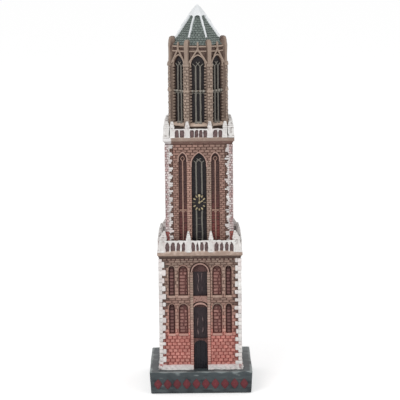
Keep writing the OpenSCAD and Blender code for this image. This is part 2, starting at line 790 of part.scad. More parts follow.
// One pier, standing towards -Y, before the core and the roof are cut from it
module pier_solid() {
    foot_slope = 1.2;
    collar_h = 0.8;
    collar_out = 1.2; // a collar wraps only the outer part of the pier
    top_w = pier_w - 0.2;
    top_r = pier_r - 0.35;
    top_z = lantern_h + pier_top_h;
    translate([-pier_w / 2, 0, 0]) rotate([90, 0, 90]) linear_extrude(pier_w) polygon([
        [-pier_in, 0], [-pier_foot_r, 0], [-pier_foot_r, pier_foot_h - foot_slope],
        [-pier_r, pier_foot_h], [-pier_in, pier_foot_h]]);
    pier_block(pier_r, pier_w, pier_foot_h - cut, pier_cap_z - pier_foot_h + cut);
    for (z = [lantern_transom_z, pier_cap_z - collar_h])
        translate([-pier_w / 2 - band_proud / 2, -pier_r - band_proud, z])
            cube([pier_w + band_proud, collar_out + band_proud, collar_h]);
    pier_block(top_r, top_w, pier_cap_z - cut, top_z - pier_cap_z + cut);
    translate([0, -(top_r + pier_in) / 2 - 0.5, top_z]) rotate([0, 0, 45])
        cylinder(d1 = top_w * sqrt(2) * 0.7, d2 = top_w * 0.5, h = 0.9, $fn = 4);
}

module roof_body(gap = 0) {
    r = (core_a + eaves) / cos(half_turn);
    translate([0, 0, eaves_z - gap]) rotate([0, 0, half_turn])
        cylinder(r1 = r + 2 * gap, r2 = 0, h = roof_h + 2 * gap, $fn = 8);
}

module lantern_core() {
    color(dark) difference() {
        union() {
            translate([0, 0, lantern_z]) octagon(core_a, lantern_h);
            translate([0, 0, middle_top - lantern_spigot_l])
                block(lantern_spigot_w, lantern_spigot_l + deck_h + 1);
        }
        translate([0, 0, eaves_z - roof_spigot_l - glue_gap])
            cylinder(d = roof_spigot_d + 2 * glue_gap, h = roof_spigot_l + glue_gap + cut);
    }
}

module lantern_piers() {
    color(stone) for (k = [0 : 7]) on_vertex(k) difference() {
        translate([0, 0, lantern_z]) pier_solid();
        translate([0, 0, lantern_z - 1]) rotate([0, 0, half_turn]) octagon(core_a, lantern_h + 1);
        rotate([0, 0, half_turn]) roof_body(glue_gap);
    }
}

// Sloping sills between the piers
module lantern_sills() {
    wall = core_a + lantern_wall_t;
    color(stone) for (k = [0 : 7]) on_face(k) translate([0, 0, lantern_z]) difference() {
        translate([-core_a, 0, 0]) rotate([90, 0, 90]) linear_extrude(2 * core_a) polygon([
            [-core_a, 0], [-wall - sill_out, 0], [-wall - sill_out, lantern_sill_h - weathering_h],
            [-wall, lantern_sill_h], [-core_a, lantern_sill_h]]);
        for (s = [-1, 1]) rotate([0, 0, s * half_turn])
            translate([s > 0 ? -pier_w / 2 - glue_gap : -2 * core_a, -2 * core_a, -cut])
                cube([pier_w / 2 + glue_gap + 2 * core_a, 2 * core_a, lantern_sill_h + 1]);
    }
}

// Tracery wall of one window: two mullions, a cross bar and forked heads
module lantern_light() {
    h = lantern_h - lantern_sill_h;
    window_h = h - lantern_head_gap;
    spring = window_h - lantern_rise;
    transom = lantern_transom_z - lantern_sill_h;
    x = lantern_window_w / 6;
    difference() {
        bar(lantern_wall_w, h);
        translate([0, -cut]) pointed_arch(lantern_window_w, window_h + cut, lantern_rise);
    }
    for (s = [-1, 1]) {
        translate([s * x, 0]) bar(bar_w * 0.8, spring);
        slant(s * x, spring - bar_w / 2, -s * x, spring + 2 * x, bar_w * 0.7);
        slant(s * x, spring - bar_w / 2, s * 3 * x, spring + 2 * x, bar_w * 0.7);
    }
    translate([0, transom]) bar(lantern_window_w + jamb_w, bar_w);
}

module lantern_tracery() {
    color(mullion_grey) for (k = [0 : 7]) on_face(k) on_wall(core_a, lantern_z + lantern_sill_h)
        linear_extrude(lantern_wall_t) lantern_light();
}

// Gable over one window, with the two parapet rails and the band of the window's head
module gable() {
    half = gable_w / 2;
    spring = pier_cap_gap - lantern_head_gap - lantern_rise;
    leg = 1;
    finial_h = 3.2;
    intersection() {
        translate([-half, 0]) square([gable_w, pier_cap_gap]);
        for (s = [-1, 1]) slant(s * (half + gable_bar), gable_foot - gable_bar, 0, gable_h, gable_bar);
    }
    for (z = [pier_cap_gap - rail_gap - gable_bar, pier_cap_gap - gable_bar])
        difference() {
            translate([-half, z]) square([gable_w, gable_bar]);
            polygon([[-half, gable_foot], [half, gable_foot], [0, gable_h]]);
        }
    translate([0, gable_h - gable_bar]) bar(gable_bar, finial_h);
    intersection() {
        translate([0, spring - leg]) arch_band(lantern_window_w, lantern_rise, bar_w * 0.9, leg);
        translate([-half, 0]) square([gable_w, pier_cap_gap]);
    }
}

module lantern_gables() {
    foot = lantern_z + pier_cap_z + glue_gap;
    color(stone) for (k = [0 : 7]) on_face(k) on_wall(core_a + lantern_wall_t, foot)
        linear_extrude(gable_t) gable();
}

// Roof

module roof_shell() {
    color(slate) {
        roof_body();
        translate([0, 0, eaves_z - roof_spigot_l]) cylinder(d = roof_spigot_d, h = roof_spigot_l + 1);
    }
}

// A rib sits astride each hip, from the pier's top up to the cap
module roof_ribs() {
    hip_r = (core_a + eaves) / cos(half_turn);
    lean = atan(hip_r / roof_h); // angle between a hip and the axis
    foot = pier_top_h + 0.6;
    top = roof_h - cap_h;
    color(white) for (k = [0 : 7]) on_vertex(k) difference() {
        translate([0, -hip_r * (1 - foot / roof_h), eaves_z + foot]) rotate([-lean, 0, 0])
            translate([-rib_w / 2, -rib_t, 0]) cube([rib_w, 2 * rib_t, (top - foot) / cos(lean)]);
        rotate([0, 0, half_turn]) roof_body();
        rotate([0, 0, half_turn]) roof_cap_body();
    }
}

module roof_cap_body() {
    hip_r = (core_a + eaves) / cos(half_turn);
    foot_r = hip_r * cap_h / roof_h + cap_t;
    translate([0, 0, eaves_z + roof_h - cap_h]) rotate([0, 0, half_turn])
        cylinder(r1 = foot_r, r2 = 0.1, h = cap_h + 0.8, $fn = 8);
}

module roof_cap() {
    color(white) difference() {
        roof_cap_body();
        roof_body();
    }
}

// Every node is drawn when it is asked for
felt_pad();
base_block();
base_frieze();
foot_course();
lower_tower();
portal_panes();
portal_doors();
lower_sills();
lower_deck();
lower_face_pinnacles();
middle_tower();
middle_panes();
middle_side_tracery();
middle_hoods();
clock_dial();
clock_marks();
clock_hour_hand();
clock_minute_hand();
upper_deck();
upper_face_pinnacles();
lantern_core();
lantern_sills();
lantern_piers();
lantern_tracery();
lantern_gables();
roof_shell();
roof_ribs();
roof_cap();
for (i = [0 : 3]) {
    lower_quoin(i);
    portal_frame(i);
    lower_balustrade(i);
    lower_corner_pinnacle(i);
    middle_quoin(i);
    middle_tracery(i);
    upper_balustrade(i);
    upper_corner_pinnacle(i);
}
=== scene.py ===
import math
import re
import bpy
import numpy as np
from mathutils import Matrix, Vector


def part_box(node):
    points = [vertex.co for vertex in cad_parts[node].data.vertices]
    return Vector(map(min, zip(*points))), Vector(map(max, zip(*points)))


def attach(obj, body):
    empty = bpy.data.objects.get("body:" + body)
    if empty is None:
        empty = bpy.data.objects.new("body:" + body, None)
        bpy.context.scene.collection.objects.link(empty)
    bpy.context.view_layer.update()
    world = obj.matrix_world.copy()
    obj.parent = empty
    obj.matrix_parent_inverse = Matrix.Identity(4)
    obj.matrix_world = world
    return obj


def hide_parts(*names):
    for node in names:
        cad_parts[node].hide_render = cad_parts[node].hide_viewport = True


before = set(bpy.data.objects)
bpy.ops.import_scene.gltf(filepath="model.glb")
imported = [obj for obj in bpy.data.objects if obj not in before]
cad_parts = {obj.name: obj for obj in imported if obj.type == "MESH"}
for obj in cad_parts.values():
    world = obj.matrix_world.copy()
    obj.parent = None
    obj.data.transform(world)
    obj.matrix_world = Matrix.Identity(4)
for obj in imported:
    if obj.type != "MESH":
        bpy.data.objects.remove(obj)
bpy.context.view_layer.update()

mm = 0.001
chance = np.random.default_rng(29)
sideNames = ("front", "right", "back", "left")
cornerNames = ("front_right", "back_right", "back_left", "front_left")
sideAngles = (0, 90, 180, 270)
faceAngles = tuple(45 * k for k in range(8))
hipAngles = tuple(45 * k + 22.5 for k in range(8))
print("frame loaded:", len(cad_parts), "nodes")


# highest corner of a node, in millimetres
def highCorner(name):
    return [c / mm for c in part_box(name)[1]]


# Heights and half widths of the stages, from the frame
baseFoot, baseTop = (corner[2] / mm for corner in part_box("base_block"))
lowerHalf, _, lowerTop = highCorner("lower_tower")
lowerDeckHalf, _, middleFoot = highCorner("lower_deck")
middleHalf, _, middleTop = highCorner("middle_tower")
upperDeckHalf, _, lanternFoot = highCorner("upper_deck")
coreSide, _, eaves = highCorner("lantern_core")
roofSide, _, roofTop = highCorner("roof_shell")
capTop = highCorner("roof_cap")[2]


# Colours and node helpers

# a screen colour, 0 to 255, as the linear value that a node takes
def linear(red, green, blue):
    c = np.array([red, green, blue]) / 255
    c = np.where(c <= 0.04045, c / 12.92, ((c + 0.055) / 1.055) ** 2.4)
    return (*c.tolist(), 1.0)


# a socket is linked, anything else is set as the input's own value
def setInputs(tree, node, inputs):
    for key, value in dict(inputs).items():
        if isinstance(value, bpy.types.NodeSocket):
            tree.links.new(value, node.inputs[key])
        else:
            node.inputs[key].default_value = value


def addNode(tree, kind, inputs=(), **settings):
    node = tree.nodes.new("ShaderNode" + kind)
    for key, value in settings.items():
        setattr(node, key, value)
    setInputs(tree, node, inputs)
    return node


def calc(tree, operation, *values):
    return addNode(tree, "Math", enumerate(values), operation=operation).outputs[0]


# a * b + c
def scaleAdd(tree, a, b, c):
    return calc(tree, "MULTIPLY_ADD", a, b, c)


def mixColour(tree, factor, first, second):
    return addNode(tree, "Mix", {0: factor, 6: first, 7: second}, data_type="RGBA").outputs[2]


def ease(tree, value, low, high):
    return addNode(tree, "MapRange", {"Value": value, "From Min": low, "From Max": high},
                   interpolation_type="SMOOTHSTEP").outputs["Result"]


def noise(tree, place, scale, detail=3.0, rough=0.6):
    return addNode(tree, "TexNoise", {"Vector": place, "Scale": scale, "Detail": detail,
                                      "Roughness": rough}).outputs["Fac"]


def objectPlace(tree):
    return addNode(tree, "TexCoord").outputs["Object"]


def attribute(tree, name):
    return addNode(tree, "Attribute", attribute_name=name).outputs["Fac"]


def bumpNormal(tree, height, strength, distance=0.12):
    return addNode(tree, "Bump", {"Height": height, "Strength": strength,
                                  "Distance": distance * mm}).outputs["Normal"]


# 1 for what the camera sees, straight or in a reflection
def seenRay(tree):
    ray = addNode(tree, "LightPath").outputs
    mirrored = calc(tree, "MAXIMUM", ray["Is Glossy Ray"], ray["Is Transmission Ray"])
    return calc(tree, "MAXIMUM", ray["Is Camera Ray"], mirrored)


def newMaterial(name):
    material = bpy.data.materials.new(name)
    material.use_nodes = True
    tree = material.node_tree
    return material, tree, tree.nodes["Principled BSDF"]


# inputs are name = default value: a tuple of four is a colour, of three a vector; outputs are name = kind
def newGroup(name, inputs, outputs):
    tree = bpy.data.node_groups.new(name, "ShaderNodeTree")
    for label, value in inputs.items():
        kind = {4: "Color", 3: "Vector"}[len(value)] if isinstance(value, tuple) else "Float"
        socket = tree.interface.new_socket(label, in_out="INPUT", socket_type="NodeSocket" + kind)
        socket.default_value = value
    for label, kind in outputs.items():
        tree.interface.new_socket(label, in_out="OUTPUT", socket_type="NodeSocket" + kind)
    return tree, tree.nodes.new("NodeGroupInput").outputs, tree.nodes.new("NodeGroupOutput")


def useGroup(tree, group, **inputs):
    return addNode(tree, "Group", inputs, node_tree=group).outputs


# Hand-brushed paint: a dark wash stays in the crevices, a dry brush lightens the crests
def buildPaintCoat():
    grey = (0.5, 0.5, 0.5, 1.0)
    tree, given, out = newGroup(
        "paintCoat",
        dict(Crevice=grey, Face=grey, Crest=grey, Relief=1.0, Tone=0.0, Patchy=0.5, Scale=900.0),
        dict(Color="Color", Height="Float", Dull="Float"))
    place = objectPlace(tree)
    blotch = noise(tree, place, given["Scale"], 4.0, 0.65)
    broad = noise(tree, place, calc(tree, "MULTIPLY", given["Scale"], 0.22), 2.0)
    worn = scaleAdd(tree, calc(tree, "SUBTRACT", blotch, 0.5), given["Patchy"], given["Relief"])
    low, high = ease(tree, worn, 0.12, 0.62), ease(tree, worn, 0.88, 1.22)
    washed = mixColour(tree, low, given["Crevice"], given["Face"])
    colour = mixColour(tree, high, washed, given["Crest"])
    value = scaleAdd(tree, given["Tone"], 0.13, 1.0)
    value = scaleAdd(tree, calc(tree, "SUBTRACT", broad, 0.5), 0.34, value)
    shaded = addNode(tree, "HueSaturation", {"Value": value, "Color": colour}).outputs["Color"]
    setInputs(tree, out, dict(
        Color=shaded, Height=scaleAdd(tree, blotch, 0.6, calc(tree, "MULTIPLY", low, 0.4)),
        Dull=scaleAdd(tree, low, -0.35, scaleAdd(tree, broad, 0.5, 0.4))))
    return tree


# Cast resin: fine grain with a few pin holes
def buildCastGrain():
    tree, given, out = newGroup("castGrain", dict(Scale=3200.0), dict(Height="Float"))
    place = objectPlace(tree)
    grain = noise(tree, place, given["Scale"], 3.0, 0.7)
    sparse = calc(tree, "MULTIPLY", given["Scale"], 0.22)
    holes = addNode(tree, "TexVoronoi", {"Vector": place, "Scale": sparse}).outputs["Distance"]
    pits = calc(tree, "MULTIPLY", ease(tree, holes, 0.06, 0.2), 0.5)
    setInputs(tree, out, dict(Height=scaleAdd(tree, grain, 0.5, pits)))
    return tree


# Brush streaks: noise drawn out along one direction
def buildBrushStreaks():
    tree, given, out = newGroup("brushStreaks", dict(Stretch=(1.0, 1.0, 1.0), Low=0.5, High=0.7),
                                dict(Mask="Float"))
    place = addNode(tree, "Mapping", {"Vector": objectPlace(tree), "Scale": given["Stretch"]}).outputs[0]
    streaks = noise(tree, place, 1.0, 5.0, 0.62)
    setInputs(tree, out, dict(Mask=ease(tree, streaks, given["Low"], given["High"])))
    return tree


paintCoat, castGrain, brushStreaks = buildPaintCoat(), buildCastGrain(), buildBrushStreaks()


# one colour, or a run of colours along the piece's hue attribute
def paintColour(tree, shades):
    if len(shades) == 1:
        return linear(*shades[0])
    ramp = addNode(tree, "ValToRGB", {"Fac": attribute(tree, "hue")})
    stops = ramp.color_ramp.elements
    while len(stops) < len(shades):
        stops.new(0.5)
    for k, shade in enumerate(shades):
        stops[k].position = k / (len(shades) - 1)
        stops[k].color = linear(*shade)
    return ramp.outputs["Color"]


def paintFinish(name, crevice, face, crest, patchy, scale, rough=(0.5, 0.8), streak=None, specular=0.3):
    _, tree, shader = newMaterial(name)
    coat = useGroup(tree, paintCoat, Crevice=paintColour(tree, crevice), Face=paintColour(tree, face),
                    Crest=paintColour(tree, crest), Relief=attribute(tree, "relief"),
                    Tone=attribute(tree, "tone"), Patchy=patchy, Scale=scale)
    colour = coat["Color"]
    if streak:
        mask = useGroup(tree, brushStreaks, Stretch=streak["stretch"], Low=streak["low"],
                        High=streak["high"])["Mask"]
        mask = calc(tree, "MULTIPLY", mask, streak["amount"])
        colour = mixColour(tree, mask, colour, linear(*streak["colour"]))
    dull = addNode(tree, "MapRange", {"Value": coat["Dull"], "To Min": rough[0], "To Max": rough[1]})
    height = scaleAdd(tree, useGroup(tree, castGrain)["Height"], 0.5, coat["Height"])
    setInputs(tree, shader, {"Base Color": colour, "Roughness": dull.outputs["Result"],
                             "Normal": bumpNormal(tree, height, 0.35), "Specular IOR Level": specular})


# Finishes: crevice, face and crest colours; a second and third shade go along the hue attribute
paints = dict(
    brickPaint=dict(crevice=[(134, 70, 64), (114, 82, 75), (108, 90, 82)],
                    face=[(184, 115, 106), (152, 118, 107), (142, 122, 110)],
                    crest=[(210, 152, 140), (176, 142, 128), (158, 139, 126)], patchy=0.7, scale=1100.0),
    recessPaint=dict(crevice=[(82, 52, 51), (106, 67, 64)], face=[(112, 78, 75), (138, 98, 91)],
                     crest=[(126, 92, 87), (170, 130, 121)], patchy=0.8, scale=1200.0),
    sidePaint=dict(crevice=[(50, 34, 34), (62, 32, 32)], face=[(79, 55, 53), (136, 72, 68)],
                   crest=[(94, 68, 64), (148, 78, 74)], patchy=0.8, scale=900.0),
    stonePaint=dict(crevice=[(136, 90, 83), (128, 98, 90), (120, 100, 90)],
                    face=[(178, 125, 115), (172, 138, 127), (158, 135, 120)],
                    crest=[(202, 154, 142), (196, 164, 152), (184, 163, 148)], patchy=0.6, scale=800.0),
    deckPaint=dict(crevice=[(84, 67, 61), (122, 92, 84), (128, 120, 122)],
                   face=[(162, 140, 127), (138, 116, 105), (214, 208, 206)],
                   crest=[(194, 174, 162), (168, 150, 138), (232, 229, 228)], patchy=0.6, scale=700.0),
    whitePaint=dict(crevice=[(128, 117, 115), (148, 116, 115), (150, 70, 66)],
                    face=[(222, 220, 217), (202, 186, 184), (176, 96, 90)],
                    crest=[(240, 238, 236), (224, 213, 211), (196, 132, 124)], patchy=0.6, scale=850.0,
                    rough=(0.4, 0.65)),
    roofWhite=dict(crevice=[(176, 182, 184)], face=[(230, 233, 235)], crest=[(240, 241, 243)],
                   patchy=0.3, scale=700.0, rough=(0.4, 0.6)),
    mauvePaint=dict(crevice=[(84, 66, 66)], face=[(112, 91, 90)], crest=[(136, 112, 110)],
                    patchy=0.8, scale=800.0),
    portalDark=dict(crevice=[(36, 26, 30)], face=[(46, 33, 37)], crest=[(122, 105, 105)],
                    patchy=0.7, scale=700.0, rough=(0.38, 0.6)),
    doorBlack=dict(crevice=[(20, 19, 23)], face=[(31, 30, 35)], crest=[(48, 46, 51)],
                   patchy=0.5, scale=500.0, rough=(0.4, 0.6), specular=0.2,
                   streak=dict(stretch=(900.0, 900.0, 160.0), low=0.52, high=0.75, colour=(48, 46, 50),
                               amount=0.4)),
    windowBlack=dict(crevice=[(26, 23, 27)], face=[(38, 34, 37)], crest=[(58, 54, 56)],
                     patchy=0.6, scale=600.0, rough=(0.4, 0.62), specular=0.2),
    greyStone=dict(crevice=[(80, 76, 72)], face=[(116, 112, 105)], crest=[(132, 128, 120)],
                   patchy=0.5, scale=900.0),
    brownStone=dict(crevice=[(92, 62, 58)], face=[(156, 124, 111)], crest=[(174, 142, 128)],
                    patchy=0.5, scale=900.0),
    lanternStone=dict(crevice=[(104, 87, 79), (82, 62, 57)], face=[(158, 139, 125), (122, 104, 93)],
                      crest=[(176, 158, 144), (146, 128, 116)], patchy=0.55, scale=900.0),
    slatePaint=dict(crevice=[(90, 98, 95)], face=[(114, 123, 119)], crest=[(132, 141, 136)],
                    patchy=0.8, scale=1000.0, rough=(0.42, 0.68)),
    basePaint=dict(crevice=[(44, 48, 52)], face=[(65, 72, 75)], crest=[(132, 140, 140)],
                   patchy=0.7, scale=260.0, rough=(0.4, 0.62),
                   streak=dict(stretch=(70.0, 70.0, 700.0), low=0.54, high=0.72, colour=(100, 109, 109),
                               amount=0.5)),
    friezeRed=dict(crevice=[(62, 38, 43)], face=[(101, 41, 47)], crest=[(122, 57, 62)],
                   patchy=0.8, scale=700.0, rough=(0.4, 0.6)),
    clockBlack=dict(crevice=[(26, 24, 26)], face=[(38, 33, 35)], crest=[(62, 57, 56)],
                    patchy=0.5, scale=800.0, rough=(0.35, 0.55), specular=0.2),
    clockGold=dict(crevice=[(84, 72, 54)], face=[(150, 137, 106)], crest=[(190, 175, 138)],
                   patchy=0.9, scale=1500.0, rough=(0.35, 0.5), specular=0.5))
for paintName, settings in paints.items():
    paintFinish(paintName, **settings)

# paint and slot of what several pieces share
white, trim = ("whitePaint", "white_paint"), ("stonePaint", "stone_trim")
brickwork, lanternTrim = ("brickPaint", "brick_wall"), ("lanternStone", "lantern_stone")


# A casting that stays as the frame has it takes the crevice colours, redder towards the foot
def mortarFinish(node, name, low, high, foot, top):
    material, tree, shader = newMaterial(name)
    place = objectPlace(tree)
    rise = ease(tree, addNode(tree, "SeparateXYZ", {0: place}).outputs["Z"], foot * mm, top * mm)
    wash = mixColour(tree, rise, linear(*low), linear(*high))
    blotch = noise(tree, place, 700.0, 4.0)
    coat = useGroup(tree, paintCoat, Crevice=wash, Face=wash, Crest=wash, Relief=blotch, Patchy=0.4)
    grain = useGroup(tree, castGrain, Scale=3000.0)["Height"]
    setInputs(tree, shader, {"Base Color": coat["Color"], "Roughness": scaleAdd(tree, blotch, 0.25, 0.6),
                             "Normal": bumpNormal(tree, grain, 0.4), "Specular IOR Level": 0.25})
    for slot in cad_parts[node].material_slots:
        slot.material = material


print("finishes mixed:", len(bpy.data.materials))


# Surfaces, in millimetres. On a wall the axes are u along it, v up and w outwards.

# points from their coordinates, each spread over the common shape
def grid(*axes):
    return np.stack(np.broadcast_arrays(*axes), -1)


# 0 up to the start, then rising to 1 over the span
def climb(value, start, span):
    return np.clip((value - start) / span, 0, 1)


# about -1 to 1: the mean of six sine waves with random directions and lengths near the given size
def wobble(points, size, seed):
    draw = np.random.default_rng(seed)
    waves = draw.normal(size=(6, 3))
    pace = draw.uniform(0.6, 1.5, (6, 1)) * 2 * math.pi / size
    waves *= pace / np.linalg.norm(waves, axis=1, keepdims=True)
    return 1.6 * np.sin(points @ waves.T + draw.uniform(0, 6.3, 6)).mean(-1)


# wall axes to the frame's: the front wall faces -Y, the others are turned about Z
def turned(points, angle):
    u, v, w = np.moveaxis(points, -1, 0)
    c, s = math.cos(math.radians(angle)), math.sin(math.radians(angle))
    return grid(u * c + w * s, u * s - w * c, v)


def stand(patches, angle=0):
    return [dict(p, points=turned(p["points"], angle)) for p in patches]


# quads of a grid whose columns close into rings
def ringFaces(rows, count):
    i, j = np.arange(rows - 1)[:, None], np.arange(count)[None]
    after = (j + 1) % count
    corners = [i * count + j, i * count + after, (i + 1) * count + after, (i + 1) * count + j]
    return grid(*corners).reshape(-1, 4)


# turns all faces round if the volume they enclose comes out negative
def outward(points, faces):
    volume = 0.0
    centred = points - points.mean(0)
    for f in faces:
        for k in range(1, f.shape[1] - 1):
            a, b, c = centred[f[:, 0]], centred[f[:, k]], centred[f[:, k + 1]]
            volume += np.einsum("ij,ij->", a, np.cross(b, c))
    return faces if volume > 0 else [f[:, ::-1] for f in faces]


# closed sections, one after the other, joined into a skin with a fan over each end
def loft(rings, relief=1.0, tone=0.0, hue=0.0):
    rows, count = rings.shape[:2]
    points = np.concatenate([rings.reshape(-1, 3), rings[[0, -1]].mean(1)])
    here, last, tip = np.arange(count), (rows - 1) * count, rows * count
    after = (here + 1) % count
    caps = np.concatenate([grid(tip, after, here), grid(tip + 1, last + here, last + after)])

    def cover(value):
        value = np.broadcast_to(np.asarray(value, float), (rows, count))
        return np.concatenate([value.ravel(), value[[0, -1]].mean(1)])

    return dict(points=points, faces=outward(points, [ringFaces(rows, count), caps]),
                relief=cover(relief), tone=cover(tone), hue=cover(hue))


# a front surface on a grid, closed with a flat back and rims
def slab(front, back, relief=1.0, tone=0.0, hue=0.0):
    rear = front[:, ::-1].copy()
    rear[..., 2] = back
    relief, hue = (np.broadcast_to(np.asarray(a, float), front.shape[:2]) for a in (relief, hue))
    return loft(np.concatenate([front, rear], 1), np.concatenate([relief, 0 * relief], 1), tone,
                np.concatenate([hue, hue], 1))


# a front made rough by a wave, which also lights its relief
def roughSlab(front, back, size, seed, lift, relief, gain, tone=0.0, hue=0.0):
    rough = wobble(front, size, seed)
    front[..., 2] += lift * rough
    return slab(front, back, relief + gain * rough, tone, hue)


# superellipse section, from a round rod at power 2 to a square bar
def section(width, depth, count=10, power=3.0):
    a = (np.arange(count) + 0.5) * 2 * math.pi / count
    c, s = np.cos(a), np.sin(a)
    return grid(width / 2 * np.sign(c) * np.abs(c) ** (2 / power),
                depth / 2 * np.sign(s) * np.abs(s) ** (2 / power))


# a section carried along a line on a wall: its first axis is square to the line, its second stands out
def moulding(path, profile, out, swell=1.0, sway=0.0, tone=0.0, hue=0.0, low=0.0):
    path = np.asarray(path, float)
    run = np.gradient(path, axis=0)
    run /= np.linalg.norm(run, axis=1, keepdims=True)
    square = grid(-run[:, 1], run[:, 0])
    swell = np.broadcast_to(np.asarray(swell, float), len(path))[:, None]
    wide, deep = profile.T
    aside = swell * wide + np.asarray(sway, float).reshape(-1, 1)
    flat = path[:, None] + aside[..., None] * square[:, None]
    relief = low + (1 - low) * np.clip((deep - deep.min()) / np.ptp(deep) * 1.3, 0, 1)
    return loft(grid(flat[..., 0], flat[..., 1], out + swell * deep), relief, tone, hue)


def archRadius(half, rise):
    return (half * half + rise * rise) / (2 * half)


# a pointed arch is two arcs of radius (half^2 + rise^2) / (2 half); with rise equal to half it is round
def archLine(half, spring, rise, leg=0.0, count=12, x=0.0):
    r = archRadius(half, rise)
    a = np.linspace(math.pi, math.pi - math.asin(min(1.0, rise / r)), count)
    left = grid(r - half + r * np.cos(a), spring + r * np.sin(a))
    line = np.concatenate([left, (left * [-1, 1])[-2::-1]])
    if leg:
        line = np.concatenate([[[-half, spring - leg]], line, [[half, spring - leg]]])
    return line + [x, 0]


def opening(x, half, foot, spring, rise):
    return dict(x=x, half=half, foot=foot, spring=spring, rise=rise, top=spring + rise)


# half width of an opening at a height
def openHalf(o, height):
    r = archRadius(o["half"], o["rise"])
    up = np.clip(height - o["spring"], 0, o["rise"])
    return math.sqrt(r * r - up * up) - (r - o["half"])


# rounded blocks on a 4 x 4 x 4 lattice: faces flat, edges and corners drawn in by a share of the bevel
cells = np.stack(np.meshgrid(*[np.arange(4)] * 3, indexing="ij"), -1).reshape(-1, 3)
shell = cells[((cells == 0) | (cells == 3)).any(1)]
shellIndex = np.full((4, 4, 4), -1)
shellIndex[tuple(shell.T)] = np.arange(len(shell))
shellFaces = []
for axis in range(3):
    for end in (0, 3):
        plane = np.take(shellIndex, end, axis)
        quads = grid(plane[:-1, :-1], plane[1:, :-1], plane[1:, 1:], plane[:-1, 1:]).reshape(-1, 4)
        shellFaces.append(quads if (axis == 1) == (end == 0) else quads[:, ::-1])
shellFaces = np.concatenate(shellFaces)
shellSign = np.where(shell < 1.5, -1.0, 1.0)
shellEnd = (shell == 0) | (shell == 3)
shellPull = np.where(shellEnd, np.array([0, 0, 0.29, 0.42])[shellEnd.sum(1)][:, None], 1.0)


def blocks(centres, halves, bevel, spin=None, shown="w", loose=0.0, tone=None, hue=0.0):
    centres = np.atleast_2d(np.asarray(centres, float))
    n = len(centres)
    halves = np.broadcast_to(np.asarray(halves, float), centres.shape)
    halves = halves * (1 + loose * chance.uniform(-1, 1, (n, 3)))
    least = halves.min(1)[:, None, None]
    points = shellSign * (halves[:, None] - np.minimum(bevel, 0.9 * least) * shellPull)
    points = points + loose * 0.25 * least * chance.uniform(-1, 1, points.shape)
    if spin is not None:
        c, s = np.cos(spin)[:, None], np.sin(spin)[:, None]
        u, v, w = np.moveaxis(points, -1, 0)
        points = grid(u * c - v * s, u * s + v * c, w)
    points = points + centres[:, None] + loose * 0.3 * halves.min() * chance.uniform(-1, 1, (n, 1, 3))
    layer = np.array([0.0, 0.3, 0.75, 1.0])
    relief = np.max([layer[shell[:, "uvw".index(a)]] for a in shown], axis=0)
    tone = chance.uniform(-1, 1, n) if tone is None else tone
    return many(points, shellFaces, relief, tone, hue)


# alike small solids as one patch; relief runs over one solid, tone and hue from solid to solid
def many(points, faces, relief, tone, hue):
    n, each = points.shape[:2]
    faces = (faces + np.arange(n)[:, None, None] * each).reshape(-1, 4)
    tone, hue = (np.repeat(np.broadcast_to(a, n), each) for a in (tone, hue))
    return dict(points=points.reshape(-1, 3), faces=[faces], relief=np.tile(relief, n), tone=tone, hue=hue)


# raised bricks from rectangles (u0, u1, v0, v1): a back, a shoulder a chamfer below the front, and a front
# drawn in
brickFaces = [[3, 2, 1, 0], [8, 9, 10, 11]]
brickFaces += [[r + k, r + (k + 1) % 4, r + 4 + (k + 1) % 4, r + 4 + k] for r in (0, 4) for k in range(4)]
brickFaces = np.array(brickFaces)


def bricks(rects, back, front, chamfer, uneven=0.08, hue=0.0, dry=0.0, tone=0.0):
    rects = np.asarray(rects, float)
    n = len(rects)
    ring = grid(rects[:, [0, 1, 1, 0]], rects[:, [2, 2, 3, 3]])
    middle = ring.mean(1, keepdims=True)
    size = np.abs(ring - middle)
    drawn = middle + np.sign(ring - middle) * np.maximum(size - chamfer * np.array([1, 0.6]), 0.3 * size)
    lift = front + uneven * chance.uniform(-1, 1, (n, 1)) + 0.4 * uneven * chance.uniform(-1, 1, (n, 4))
    ring = ring + 0.5 * uneven * chance.uniform(-1, 1, ring.shape)
    layers = ((ring, back), (ring, lift - chamfer), (drawn, lift))
    points = np.concatenate([grid(flat[..., 0], flat[..., 1], w) for flat, w in layers], 1)
    relief = np.repeat([0.0, 0.3, 1.0 - dry], 4)
    return many(points, brickFaces, relief, tone + chance.uniform(-1, 1, n), hue)


# running bond between four lines, cut back where openings with arched heads pass through a course
def layCourses(left, right, foot, top, course, length, openings=(), joint=0.18, bond=0.0):
    rows = max(1, round((top - foot) / course))
    step = (top - foot) / rows
    laid = []
    for row in range(rows):
        low, high = foot + row * step, foot + (row + 1) * step
        spans = [(left, right)]
        for o in openings:
            if high > o["foot"] and low < o["top"]:
                half = openHalf(o, low)
                cut = [((a, min(b, o["x"] - half)), (max(a, o["x"] + half), b)) for a, b in spans]
                spans = [s for pair in cut for s in pair if s[1] - s[0] > 0.4]
        cuts = left + length * (np.arange(-1, (right - left) / length + 1) + 0.5 * (row % 2)
                                + bond + chance.uniform(-0.1, 0.1))
        for a, b in spans:
            edges = np.concatenate([[a], cuts[(cuts > a + 0.45) & (cuts < b - 0.45)], [b]])
            laid.append(grid(edges[:-1] + joint / 2, edges[1:] - joint / 2, low + 0.2 * joint,
                             high - 0.2 * joint))
    return np.concatenate(laid)


